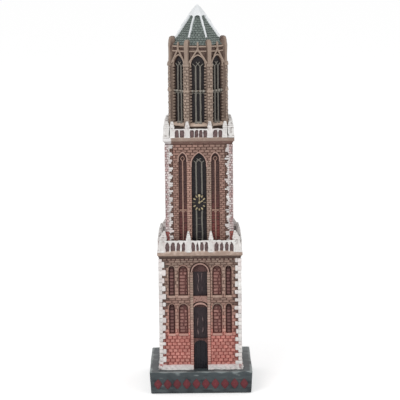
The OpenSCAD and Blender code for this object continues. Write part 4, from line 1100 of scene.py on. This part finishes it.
def makeGallery(g):
    label, smooth, brown = g["label"], dict(sharp=60), ("mauvePaint", "stone_trim")
    seeds = g["seed"] + 10 * np.arange(4)
    # painted shade on the front right corner pinnacle only
    paintedShades = (g["paintedShade"], 0.0, 0.0, 0.0)
    makePiece(label + "Deck", stand(buildDeck(g)), "deckPaint", "stone_trim", sharp=70)
    makeAround(sideAngles,
               (label + "Balustrade_{side}", lambda k: buildBalustrade(g, seeds[k]), *white),
               (label + "CornerPinnacle_{corner}", lambda k: buildCornerPinnacle(g, seeds[k] + 3, paintedShades[k]),
                *white, smooth),
               (label + "FacePinnacles", lambda k: buildFacePinnacles(g, seeds[k] + 6), *white, smooth),
               (label + "ParapetBacks", lambda k: buildParapetBack(g, seeds[k] + 5), *brown))


makeGallery(lowerGallery)
makeGallery(upperGallery)
print("galleries done")


# Middle stage

middleWall = dict(foot=64.0, top=105.8, centreHalf=3.15, centreRise=5.0, sideAt=7.1, sideHalf=1.68,
                  sideRise=2.6, course=1.28, length=2.5, stackCourse=0.95, stackLength=2.1, stackTop=102.4,
                  proud=0.26, edge=11.4, stripEdge=6, stripTop=102, centreDepth=1.8, sideDepth=1.1,
                  transom=80.4, mullion=1.25, bars=(76.8, 74.0, 70.7, 67.6), redFoot=8.2, paneRed=(90, 22),
                  paneCourse=1.3)


def middleOpening(x, part):
    half, rise = middleWall[part + "Half"], middleWall[part + "Rise"]
    return opening(x, half, middleWall["foot"], middleWall["top"] - rise, rise)


centreWindows = [middleOpening(0.0, "centre")]
sideWindows = [middleOpening(s * middleWall["sideAt"], "side") for s in (-1, 1)]
middleWindows = centreWindows + sideWindows


# pale strips between the windows, browner bricks over them, and ends darkened with painted shade where they
# show between the quoins' teeth
def buildMiddleBricks():
    m = middleWall
    edge = m["edge"]
    patches = []
    for foot, top, course, length, joint in (
            (middleFoot + 0.1, m["stackTop"], m["stackCourse"], m["stackLength"], 0.15),
            (m["stackTop"], middleTop - 0.15, m["course"], m["length"], 0.3)):
        rects = layCourses(-edge, edge, foot, top, course, length, middleWindows, joint)
        ends = layCourses(edge, edge + 1.2, foot, top, course, length, joint=0.1)
        rects = np.concatenate([rects, ends, ends * [-1, -1, 1, 1]])
        rects[:, :2] = np.sort(rects[:, :2], 1)
        u, z = rects[:, :2].mean(1), rects[:, 2:].mean(1)
        inner, left = np.abs(u) < m["stripEdge"], u < 0
        strip = np.where(inner, np.where(left, 0.6, 0.95), 0.55)
        hue = np.where(z < m["stackTop"], strip, 0.6 + 0.012 * u) + chance.uniform(-0.05, 0.05, len(rects))
        light = np.where(inner & (z < m["stripTop"]), np.where(left, 2.6, 1.9), -0.4)
        # painted shade on the ends that show between the quoins' teeth
        shade = np.where(np.abs(u) > edge, 3.8, 0.0)
        patches.append(bricks(rects, middleHalf - 0.3, middleHalf + m["proud"], 0.2, hue=np.clip(hue, 0, 1),
                              tone=light - shade))
    return patches


# stone rolls over the window heads
def buildHoods():
    return [moulding(archLine(o["half"] + 0.27, o["spring"], o["rise"] + 0.3, leg=1.2, x=o["x"]),
                     section(0.62, 0.95, 12), middleHalf + 0.1, hue=chance.uniform(0.45, 0.7), tone=-0.5)
            for o in middleWindows]


# backs of windows as uneven sheets that redden towards the foot; a cosine up the wall gives brick courses
def buildWindowBacks(windows, depth, seed, lift, courses=0.0):
    patches = []
    start, span = middleWall["paneRed"]
    for o in windows:
        v = np.linspace(o["foot"] - 0.3, o["top"], 170)
        flat = grid(o["x"] + np.linspace(-1, 1, 16)[:, None] * o["half"], v, middleHalf - depth + lift)
        rough = wobble(flat, 2.2, seed)
        course = courses * np.cos(2 * math.pi * v / middleWall["paneCourse"])
        flat[..., 2] += 0.06 * rough + 0.08 * course
        red = climb(start - v, 0, span) * (1.0 if o["x"] > 0 else 0.55)
        relief = 0.6 + 0.25 * rough + 0.22 * course
        patches.append(slab(flat, middleHalf - depth - 0.3, relief, 0.0, red))
    return patches


# a rod whose centre line sways or bows and whose width wavers; flare thickens its foot
def rod(start, end, width, depth, out, seed, sway=0.06, count=24, flare=0.0, hue=0.0, bow=0.0):
    t = np.linspace(0, 1, count)
    start, end = np.asarray(start, float), np.asarray(end, float)
    line = start + (end - start) * t[:, None]
    u, v = line.T
    drift = sway * wobble(grid(u, v, seed), 7.0, seed) + bow * np.sin(math.pi * t)
    swell = 1 + 0.08 * wobble(grid(u, v, 0), 2.5, seed + 1) + flare * np.exp(-t * count / 2.2)
    return moulding(line, section(width, depth, 8, 2.6), out, swell, drift, hue=hue, low=0.3)


# two mullions with forked heads that cross, a stone in the fork and dark glazing bars between the mullions
def buildCentreTracery(seed):
    m = middleWall
    spring = m["top"] - m["centreRise"] + 0.8
    out = middleHalf - m["centreDepth"] + 0.75
    patches = []
    for s in (-1, 1):
        x = s * m["mullion"]
        patches += [rod((x, m["foot"] + 0.1), (x, spring), 0.74, 0.7, out, seed + s, 0.1, 50),
                    rod((x, spring - 0.2), (s * 2.3, spring + 0.6), 0.5, 0.6, out, seed, 0.0, 8),
                    rod((x, spring - 0.2), (s * 0.62, spring + 0.5), 0.5, 0.6, out, seed, 0.0, 8),
                    rod((-s * 1.0, spring + 0.3), (s * 0.95, spring + 1.6), 0.48, 0.55, out, seed + 2, 0.0, 8,
                        bow=0.15)]
    patches.append(blocks([0, spring + 0.95, out], [0.5, 0.3, 0.3], 0.25, loose=0.1))
    for z in m["bars"]:
        bar = grid(np.linspace(-1, 1, 6), z)
        patches.append(moulding(bar, section(0.34, 0.4, 8), out - 0.25, tone=-4.4, low=0.3))
    return patches


# a mullion with a diamond over it, and a bar on two small arches
def buildSideTracery(seed):
    m = middleWall
    spring, bar = m["top"] - m["sideRise"], m["transom"] + 0.25
    out = middleHalf - m["sideDepth"] + 0.4
    patches = []
    for s in (-1, 1):
        x = s * m["sideAt"]
        patches.append(rod((x, m["foot"]), (x, spring - 1.0), 0.66, 0.75, out, seed + s, 0.06, 44))
        diamond = np.array([[0, -1.15], [0.95, 0], [0, 1.15], [-0.95, 0]]) + [x, spring]
        patches += [rod(a, b, 0.4, 0.55, out, seed, 0.0, 6) for a, b in zip(diamond, np.roll(diamond, -1, 0))]
        patches += [moulding(archLine(0.75, m["transom"] - 0.9, 0.75, count=7, x=x + side * 1.05),
                             section(0.38, 0.5, 8), out) for side in (-1, 1)]
        patches.append(rod((x - 1.75, bar), (x + 1.75, bar), 0.5, 0.6, out, seed + 4, 0.04, 14))
    return patches


middleQuoins = dict(thick=0.6, column=1.75, course=1.06, tooth=0.84, joint=0.07)


# pairs of bricks up a strip, each course cut at its own place
def pairedBricks(left, cut, right, low, high, joint):
    low, high = low + joint, high - joint
    return np.concatenate([grid(left, cut - joint, low, high), grid(cut + joint, right, low, high)])


# the mirror image of a patch in the corner's diagonal
def mirrored(patch):
    return dict(patch, points=patch["points"][:, ::-1], faces=[f[:, ::-1] for f in patch["faces"]])


# a corner column of whitewashed bricks on both faces, red at its foot, and ragged teeth along its inner edge
def buildMiddleQuoins():
    q, half = middleQuoins, middleHalf
    foot, top = middleFoot + 0.1, middleTop - 0.1
    outer = half + q["thick"] - 0.06
    inner = outer - q["column"]
    n, m = round((top - foot) / q["course"]), round((top - foot) / q["tooth"])
    step = (top - foot) / n
    low = foot + np.arange(n) * step
    patches = []
    for k in (0, 1):
        cut = outer - q["column"] * (0.36 + 0.28 * (np.arange(n) % 2)) + chance.uniform(-0.15, 0.15, n)
        rects = pairedBricks(inner, cut, outer - 0.03, low, low + step, q["joint"])
        red = np.tile(low, 2) < foot + middleWall["redFoot"]
        hue = np.where(red, 1.0, chance.uniform(0.25, 0.68, 2 * n))
        washed = bricks(rects, half - 0.2, outer, 0.16, 0.06, hue=hue, tone=np.where(red, -1.2, -0.5))
        joints = bricks([[inner, outer - 0.14, foot, top]], half - 0.2, outer - 0.16, 0.02, 0.0, hue=0.3,
                        dry=0.95)
        z = foot + (np.arange(m) + 0.5) * (top - foot) / m + chance.uniform(-0.14, 0.14, m)
        long = ((np.arange(m) + 2 * k) % 4 < 2).astype(float)
        reach = 0.38 + 0.5 * long + chance.uniform(-0.16, 0.24, m)
        teeth = blocks(grid(inner + 0.3 - reach, z, half + 0.06), grid(reach, 0.42 + 0.08 * long, 0.42), 0.34,
                       loose=0.3, hue=chance.uniform(0, 0.35, m), tone=chance.uniform(-1.6, 0.6, m))
        face = [washed, joints, teeth]
        patches += [mirrored(p) for p in face] if k else face
    return patches


centreBack, sideBack = (centreWindows, middleWall["centreDepth"]), (sideWindows, middleWall["sideDepth"])
makeAround(sideAngles,
           ("middleBricks", lambda k: buildMiddleBricks(), *brickwork),
           ("middleHoods", lambda k: buildHoods(), *trim),
           ("middlePanes", lambda k: buildWindowBacks(*centreBack, 300 + k, 0.4), "windowBlack",
            "dark_window"),
           ("middleSidePanes", lambda k: buildWindowBacks(*sideBack, 310 + k, 0.1, 1.0), "sidePaint",
            "brick_wall"),
           ("middleSideTracery", lambda k: buildSideTracery(320 + 7 * k), "brownStone", "brown_tracery"),
           ("middleTracery_{side}", lambda k: buildCentreTracery(360 + 5 * k), "greyStone", "grey_tracery"),
           ("middleQuoin_{corner}", lambda k: buildMiddleQuoins(), *white))
mortarFinish("middle_tower", "middleMortar", low=(108, 64, 60), high=(100, 75, 68), foot=62, top=75)

# profile is the dial's section from its middle to its rim and back: radius, out, relief
clock = dict(height=83.9, radius=3.05, stretch=0.7, face=middleHalf - 0.7, markLength=1.15, markWidth=0.56,
             hourAngle=-62, hourLength=1.9, hourWidth=0.72, hourLift=0.66, minuteAngle=0, minuteLength=2.7,
             minuteWidth=0.44, minuteLift=0.84, bossLift=0.5,
             profile=((0.02, 0.42, 0.5), (1.2, 0.42, 0.5), (1.9, 0.44, 0.5), (2.5, 0.46, 0.5),
                      (2.75, 0.54, 0.7), (2.95, 0.54, 0.7), (3.05, 0.4, 0.6), (3.05, 0.0, 0.5),
                      (1.5, -0.05, 0)))


# an oval dial turned from a profile: rim, groove and shallow dish, drawn out upwards and downwards
def buildDial():
    profile = np.array(clock["profile"])
    stretch = 1 + clock["stretch"] / clock["radius"]
    rings = turnedDisc(profile[:, :2], 56, clock["height"], clock["face"], stretch)
    return [loft(rings, profile[:, 2:] + 0.2 * wobble(rings, 1.4, 400))]


# hour marks lean with the oval; the ones at three and nine are painted thin and dark
def buildMarks():
    c = clock
    a = np.arange(12) * math.pi / 6
    r = c["radius"] - 0.1 - c["markLength"] / 2
    centres = grid(r * np.sin(a), c["height"] + (r + c["stretch"]) * np.cos(a), c["face"] + 0.6)
    faint = np.arange(12) % 6 == 3
    wide = np.where(faint, 0.3, 0.5) * c["markWidth"] * chance.uniform(0.85, 1.15, 12)
    wide[0] *= 1.6
    sizes = grid(wide, c["markLength"] / 2 * chance.uniform(0.85, 1.05, 12), 0.16)
    tone = np.where(faint, -4.0, chance.uniform(-1.2, 0.8, 12))
    return [blocks(centres, sizes, 0.14, spin=-a + chance.uniform(-0.12, 0.12, 12), loose=0.1, tone=tone)]


# a hand is a leaf: its width grows from the boss to two thirds of its length, then runs to a point
def buildHand(hand):
    t = np.linspace(0, 1, 18)
    length, turn = clock[hand + "Length"], math.radians(clock[hand + "Angle"])
    line = grid(length * t * -math.sin(turn), clock["height"] + length * t * math.cos(turn))
    swell = np.interp(t, [0, 0.2, 0.62, 0.8, 1], [0.9, 0.55, 0.75, 1.0, 0.12])
    profile = section(clock[hand + "Width"], 0.26, 10, 2.2)
    return [moulding(line, profile, clock["face"] + clock[hand + "Lift"], swell, low=0.4)]


def buildBoss():
    profile = [[0.5, 0.0], [0.5, 0.3], [0.42, 0.45], [0.2, 0.52]]
    return [loft(turnedDisc(profile, 16, clock["height"], clock["face"] + clock["bossLift"]))]


makePiece("clockDial", stand(buildDial()), "clockBlack", "clock_black")
makePiece("clockMarks", stand(buildMarks()), "clockGold", "clock_gold")
makePiece("clockHourHand", stand(buildHand("hour")), "clockGold", "clock_gold")
makePiece("clockMinuteHand", stand(buildHand("minute") + buildBoss()), "clockGold", "clock_gold")
print("middle stage and clock done")


# Lantern

lantern = dict(pierOut=13.74, pierAxis=12.24, pierHalf=1.22, brickBack=13.3, footTop=121.5, cap=143.7,
               transom=132.4, top=155.4, frontDrop=0.8, course=1.28, joint=0.1, bead=1.34, beadAt=3.27,
               beadBack=3.25, sillTop=118.7, sillHalf=3.75, windowHalf=2.9, spring=143.7, rise=4.0,
               mullion=1.0, barHalf=3.1, gableFoot=144.3, gableTip=150.4, gableHalf=4.15, railHalf=3.7,
               wallHalf=3.5)


# piers: a plain shaft with flat bricks on its outer face, two to a course, long and short by turns
def buildPier(seed, drop):
    p = lantern
    half, foot, cap, top = p["pierHalf"], p["footTop"] - 1.6, p["cap"], p["top"] - drop
    rings = squareStack(grid(half, np.linspace(foot, cap, 16)), 0.2, 32) * [1, 1, 1.1] + [0, 0, p["pierAxis"]]
    rings += 0.05 * wobble(rings, 3.0, seed + 2)[..., None] * [1, 0, 1]
    # the shaft's sides take the darker brown, a painted shade
    faceOut = rings[..., 2] > p["brickBack"] - 0.1
    patches = [loft(rings, np.where(faceOut, 0.2, 0.5), 0.0, np.where(faceOut, 0.1, 0.6))]
    n = round((cap - 0.8 - foot) / p["course"])
    low = np.linspace(foot, cap - 0.8, n + 1)
    cut = np.where(np.arange(n) % 2 == 0, 0.38, -0.38) + chance.uniform(-0.12, 0.12, n)
    rects = pairedBricks(-half, cut, half, low[:-1], low[1:], p["joint"])
    patches.append(bricks(rects, p["brickBack"], p["pierOut"], 0.16, 0.08, tone=0.5,
                          hue=chance.uniform(0, 0.3, 2 * n)))
    # stepped foot; rows are half width, height, distance out, relief
    rows = np.array([[1.26, lanternFoot - 0.02, 12.05, 0.3], [1.27, p["footTop"] - 3.4, 12.05, 0.6],
                     [1.22, p["footTop"] - 1.9, 12.05, 0.9], [1.14, p["footTop"] - 1.1, 12.0, 1],
                     [1.0, p["footTop"] - 0.5, 11.8, 0.8]])
    rings = squareStack(rows[:, :2], 0.35, 28) * [1, 1, 1.5]
    rings[..., 2] += rows[:, 2:3]
    rough = wobble(rings, 1.8, seed)
    rings[1:] += 0.06 * rough[1:, :, None] * [1, 0, 1] - [0, 0, 0.05]
    patches.append(loft(rings, rows[:, 3:] + 0.3 * rough, 0.0, 0.3))
    # lumpy collar stones
    patches.append(blocks([0, p["transom"], p["pierOut"] - 0.32], [1.36, 0.5, 0.66], 0.4, shown="uw",
                          loose=0.06, tone=0.8, hue=0.05))
    patches.append(blocks([0, cap - 0.1, p["pierOut"] - 0.34], [1.38, 0.65, 0.7], 0.42, shown="uw",
                          loose=0.06, hue=0.1))
    # smooth upper shaft that leans in to a worn, rounded top; rows are half width, height, distance out
    rows = np.array([[0.9, cap - 0.4, 12.5], [0.92, cap + 0.6, 12.5], [0.88, cap + 3.8, 12.5],
                     [0.95, cap + 7.5, 12.4], [1.05, cap + 7.9, 12.3], [1.08, cap + 8.9, 12.22],
                     [1.04, cap + 9.3, 12.2], [1.0, top - 1.0, 12.15], [0.86, top - 0.4, 12.1],
                     [0.55, top, 11.95]])
    rings = squareStack(rows[:, :2], 0.4, 28) * [1, 1, 1.3]
    rings[..., 2] += rows[:, 2:]
    rough = wobble(rings, 2.0, seed + 1)
    faceOut = rings[..., 2] > rings[..., 2].max(1, keepdims=True) - 0.3
    rings += 0.07 * rough[..., None] * [1, 0.6, 1]
    # the sides take less relief and the darker brown than the outer face, a painted shade
    relief = np.where(faceOut, 0.8, 0.45) + 0.25 * rough
    return patches + [loft(rings, relief, 0.0, np.where(faceOut, 0.15, 0.6))]


# columns of beads on the splayed jambs of a window, over a dark back
def buildBeads():
    p = lantern
    n = round((p["cap"] - p["sillTop"]) / p["bead"])
    z = p["sillTop"] + (np.arange(n) + 0.5) * (p["cap"] - p["sillTop"]) / n
    beads = [blocks(grid(s * p["beadAt"], z, coreSide + 0.9), [0.6, 0.4, 0.55], 0.3, shown="uw", loose=0.18,
                    hue=chance.uniform(0.1, 0.6, n), tone=chance.uniform(-1.6, 0.4, n)) for s in (-1, 1)]
    middles = [-p["beadBack"], p["beadBack"]]
    backs = [[x - 0.55, x + 0.55, p["sillTop"] - 0.4, p["cap"]] for x in middles]
    return beads + [bricks(backs, coreSide - 0.1, coreSide + 0.6, 0.05, 0.0, hue=1.0, dry=0.95, tone=-3.2)]


# sloping sill between two piers; its low rows, under the nose, are darkened with tone and relief as painted
# shade
def buildSill(seed):
    top, half = lantern["sillTop"], lantern["sillHalf"]
    # distance out from the core, height, relief, tone
    rows = np.array([[-0.4, lanternFoot + 2.0, 0.2, -1.8], [1.2, lanternFoot + 2.0, 0.2, -1.8],
                     [1.25, top - 1.95, 0.2, -1.8], [1.84, top - 1.75, 0.6, 1.5], [1.9, top - 1.4, 1.1, 3.6],
                     [1.72, top - 1.1, 1.1, 4], [1.15, top - 0.55, 0.95, 4], [0.7, top - 0.1, 0.9, 4],
                     [-0.4, top, 0.6, 4]])
    out, up, relief, tone = rows.T
    rings = grid(np.linspace(-half, half, 30)[:, None], up, coreSide + out)
    rough = wobble(rings, 2.4, seed)
    rings[..., 1] += 0.07 * rough
    return [loft(rings, relief + 0.15 * rough, tone, 0.05)]


# mullions with flared feet and forked heads, worn stones along the cross bar and small arches under it
def buildLanternTracery(seed):
    p = lantern
    out, spring, bar = coreSide + 0.5, p["spring"], p["transom"]
    patches = []
    for s in (-1, 1):
        x = s * p["mullion"]
        patches += [rod((x, p["sillTop"] - 0.5), (x, spring - 0.4), 0.8, 0.75, out, seed + s, 0.08, 60,
                        flare=1.3),
                    rod((x, spring - 0.7), (s * 2.3, spring + 0.5), 0.46, 0.55, out, seed, 0.0, 8),
                    rod((x, spring - 0.7), (-s * 0.8, spring + 1.3), 0.46, 0.55, out, seed + 2, 0.0, 10)]
        for x, wide in ((2.45, 0.5), (p["mullion"] + chance.uniform(-0.2, 0.2), 0.7)):
            patches.append(blocks([s * x, bar, coreSide + 0.95], [wide, 0.56, 0.6], 0.4, loose=0.24,
                                  tone=3.2))
    patches.append(blocks([0, p["sillTop"], coreSide + 0.6], [1.7, 0.34, 0.5], 0.3, shown="vw", loose=0.1,
                          tone=3.4))
    arches = [archLine(0.72, bar - 1.5, 0.72, count=7, x=1.9 * s) for s in (-1, 0, 1)]
    return patches + [moulding(arch, section(0.36, 0.5, 8), out) for arch in arches]


# wall over the window: a straight blend from the window's arch to a rectangle round it
def buildSpandrel(seed):
    p = lantern
    arch = archLine(p["windowHalf"], p["spring"], p["rise"], leg=0.8, count=16)
    t, foot, wide = np.linspace(0, 1, len(arch)), p["spring"] - 0.8, p["wallHalf"]
    turns = [0, 0.36, 0.64, 1]
    outer = grid(np.interp(t, turns, [-wide, -wide, wide, wide]),
                 np.interp(t, turns, [foot, eaves, eaves, foot]))
    f = np.linspace(0, 1, 6)[None, :, None]
    flat = arch[:, None] * (1 - f) + outer[:, None] * f
    front = grid(flat[..., 0], flat[..., 1], coreSide + 0.75)
    return [roughSlab(front, coreSide - 0.1, 1.5, seed, lift=0.05, relief=0.28, gain=0.2, tone=-0.4, hue=1.0)]


# head band of the window, gable legs, the pale cross bar lower down, two parapet rails and a finial
def buildGable(seed):
    p = lantern
    out, bar, tip = coreSide + 1.3, p["transom"], p["gableTip"]
    half, wide = p["barHalf"], p["railHalf"]
    band = archLine(p["windowHalf"] + 0.4, p["spring"], p["rise"] + 0.35, leg=1.0, count=14)
    patches = [moulding(band, section(0.58, 1.0, 10), coreSide + 0.95, hue=0.1, tone=0.8)]
    for s in (-1, 1):
        leg = (s * p["gableHalf"], p["gableFoot"])
        patches.append(rod(leg, (s * 0.1, tip), 0.82, 0.85, out, seed + s, 0.05, 16))
    patches.append(rod((-half, bar), (half, bar), 0.55, 0.7, coreSide + 0.5, seed + 3, 0.05, 24, hue=0.5))
    for z in (eaves - 2.5, eaves - 0.48):
        patches.append(rod((-wide, z), (wide, z), 0.72, 0.75, out - 0.25, seed + 3, 0.06, 20))
    finial = [[0.42, tip - 0.4], [0.4, eaves + 0.3], [0.46, eaves + 0.6], [0.32, eaves + 1.2],
              [0.15, eaves + 1.6]]
    return patches + [loft(squareStack(finial, 0.15, 16) + [0, 0, out], 0.95, 0.0, 0.1)]


# the two front piers are worn down further
drops = [lantern["frontDrop"] if k in (0, 7) else 0.0 for k in range(8)]
makeAround(faceAngles,
           ("lanternPiers", lambda k: buildPier(420 + 4 * k, drops[k]), *lanternTrim, dict(turn=22.5)),
           ("lanternPiers", lambda k: buildBeads(), *lanternTrim),
           ("lanternSills", lambda k: buildSill(460 + k), *lanternTrim),
           ("lanternTracery", lambda k: buildLanternTracery(470 + 6 * k), "greyStone", "grey_tracery"),
           ("lanternSpandrels", lambda k: buildSpandrel(530 + k), *lanternTrim),
           ("lanternGables", lambda k: buildGable(540 + 5 * k), *lanternTrim))
mortarFinish("lantern_core", "lanternBlack", low=(44, 40, 43), high=(46, 42, 44), foot=112, top=150)
print("lantern done")


# Roof

roof = dict(course=1.14, length=1.42, lift=0.34, tilt=0.32, tiled=0.8, ribWidth=0.76, ribLift=0.8,
            ribFoot=155.2, ribTop=0.74, capFoot=163.9, capDip=0.8, capSide=4.6, capTip=0.14)
roofRise = roofTop - eaves
slopeLength = math.hypot(roofSide, roofRise)
slopeOut, slopeUp = roofSide / slopeLength, roofRise / slopeLength
hipReach = roofSide / math.cos(math.pi / 8)


# slope axes (along, up the slope, off the slope) to wall axes
def onSlope(points):
    u, s, n = np.moveaxis(points, -1, 0)
    return grid(u, eaves + s * slopeUp + n * slopeOut, roofSide - s * slopeOut + n * slopeUp)


# tiles: each course overlaps the one below, so a tile's lower edge stands higher than its upper edge
def buildTiles():
    course, length = roof["course"], roof["length"]
    laid = []
    for row in range(int(slopeLength * roof["tiled"] / course)):
        low = 0.1 + row * course
        half = roofSide * math.tan(math.pi / 8) * (1 - (low + 0.6) / slopeLength) - 0.1
        laid.append(layCourses(-half, half, low, low + course + 0.1, 9.0, length, joint=0.09,
                               bond=(half / length + 0.5 * row) % 1))
    rects = np.concatenate(laid)
    patch = bricks(rects, -0.15, roof["lift"], 0.14, 0.05)
    tiles = patch["points"].reshape(len(rects), -1, 3)
    up = (tiles[:, 4:, 1] - rects[:, None, 2]) / (rects[:, 3] - rects[:, 2])[:, None]
    tiles[:, 4:, 2] -= roof["tilt"] * up
    return [dict(patch, points=onSlope(tiles.reshape(-1, 3)))]


# plain slate skin under the tiles: an octagon that runs up to a point
def buildRoofSkin():
    a = np.radians(np.array(hipAngles))
    t = np.array([0, 0, 0.25, 0.5, 0.75, 0.99])[:, None]
    z = eaves + roofRise * t + np.array([-0.3, 0.02, 0, 0, 0, 0])[:, None]
    return [loft(grid(hipReach * (1 - t) * np.sin(a), z, hipReach * (1 - t) * np.cos(a)), 0.0, -0.3)]


# white ribs up the hips: a rounded rod whose width wavers
def buildRib(seed):
    t = np.linspace((roof["ribFoot"] - eaves) / roofRise, roof["ribTop"], 40)
    axis = grid(0, eaves + roofRise * t, hipReach * (1 - t))
    profile = section(roof["ribWidth"], 2 * roof["ribLift"], 10, 2.6)
    swell = (1 + 0.16 * wobble(axis, 2.8, seed))[:, None, None]
    lift = (1 + 0.6 * t)[:, None, None]
    up = np.array([0, hipReach, roofRise]) / math.hypot(hipReach, roofRise)
    rings = axis[:, None] + swell * (profile[:, :1] * [1, 0, 0] + lift * profile[:, 1:] * up)
    rings[..., 0] += 0.08 * wobble(axis, 4.0, seed + 1)[:, None]
    return [loft(rings, np.clip(0.7 + profile[:, 1] / roof["ribLift"] * 0.4, 0.2, 1))]


# cap: a slightly bulging octagonal cone whose lower edge arches up between the hips
def buildCap():
    a = np.arange(96) * 2 * math.pi / 96
    off = (np.degrees(a) + 22.5) % 45 - 22.5
    foot = roof["capFoot"] + roof["capDip"] * (1 - (np.abs(off) / 22.5) ** 2.2)
    tip = capTop - 0.06

    def ring(z, lift):
        flat = roof["capSide"] * climb(tip - z, 0, tip - roof["capFoot"]) ** 0.84 + lift
        r = np.maximum(flat, 0.1) / np.cos(np.radians(off)) ** 0.85
        return grid(r * np.sin(a), z, r * np.cos(a))

    rings = [ring(foot + up, lift) for up, lift in ((0.1, -1.0), (0, -0.4), (0.03, -0.1), (0.25, 0.0))]
    rings += [ring(foot + (tip - foot) * t, 0.0) for t in np.linspace(0, 1, 14)[1:-1]]
    rings.append(grid(roof["capTip"] * np.sin(a), tip - 0.03, roof["capTip"] * np.cos(a)))
    rings = np.array(rings)
    rings += 0.06 * wobble(rings, 2.5, 610)[..., None] * [1, 0, 1]
    return [loft(rings, np.clip(0.95 + 0.15 * wobble(rings, 1.8, 611), 0, 1.1))]


tiles = [p for angle in faceAngles for p in stand(buildTiles(), angle)]
makePiece("roofTiles", tiles + stand(buildRoofSkin()), "slatePaint", "roof_slate", node="roof_shell")
makeAround(hipAngles, ("roofRibs", lambda k: buildRib(580 + 2 * k), "roofWhite", "white_paint"))
makePiece("roofCap", stand(buildCap()), "roofWhite", "white_paint", sharp=40)
print("roof done")


# Floor, light and camera

floor = dict(half=8, grey=0.94, glow=0.38)
lamps = (dict(name="key", at=(-0.5, -0.9, 0.75), size=0.5, watts=4.0),
         dict(name="fill", at=(0.8, -0.6, 0.4), size=0.6, watts=1.5))
sky = dict(seen=1.0, light=0.65, aim=(0, 0, 0.09))
camera = dict(place=(0.0, -0.7296, 0.2004), pitch=0.1599, roll=-0.0105, lens=149.46, shift=0.0019)


def addObject(name, data):
    added = bpy.data.objects.new(name, data)
    bpy.context.scene.collection.objects.link(added)
    return added


# a flat square that keeps the shadow and looks white to the camera
def buildFloor():
    h, grey = floor["half"], floor["grey"]
    mesh = bpy.data.meshes.new("floor")
    mesh.from_pydata([(-h, -h, 0), (h, -h, 0), (h, h, 0), (-h, h, 0)], [], [(0, 1, 2, 3)])
    material, tree, shader = newMaterial("paleFloor")
    setInputs(tree, shader, {"Base Color": (grey, grey, grey, 1), "Roughness": 0.9, "Specular IOR Level": 0.0,
                             "Emission Color": (1, 1, 1, 1),
                             "Emission Strength": calc(tree, "MULTIPLY", seenRay(tree), floor["glow"])})
    mesh.materials.append(material)
    addObject("floor", mesh)


def buildLight():
    world = bpy.data.worlds.new("studio")
    bpy.context.scene.world = world
    world.use_nodes = True
    tree = world.node_tree
    strength = scaleAdd(tree, seenRay(tree), sky["seen"] - sky["light"], sky["light"])
    setInputs(tree, tree.nodes["Background"], {"Color": (1, 1, 1, 1), "Strength": strength})
    for lamp in lamps:
        data = bpy.data.lights.new(lamp["name"], "AREA")
        data.size, data.energy = lamp["size"], lamp["watts"]
        x, y, z = np.array(sky["aim"]) - np.array(lamp["at"])
        placed = addObject(lamp["name"], data)
        placed.location = lamp["at"]
        placed.rotation_euler = (math.atan2(math.hypot(x, y), -z), 0, math.atan2(-x, y))


def buildCamera():
    data = bpy.data.cameras.new("camera")
    data.lens, data.sensor_width, data.shift_x = camera["lens"], 36.0, camera["shift"]
    data.clip_start, data.clip_end = 0.01, 50.0
    view = addObject("camera", data)
    tilt = Matrix.Rotation(math.pi / 2 - camera["pitch"], 4, "X") @ Matrix.Rotation(camera["roll"], 4, "Z")
    view.matrix_world = Matrix.Translation(camera["place"]) @ tilt
    bpy.context.scene.camera = view


buildFloor()
buildLight()
buildCamera()
bpy.context.scene.view_settings.view_transform = "Standard"
print("floor, light and camera done")
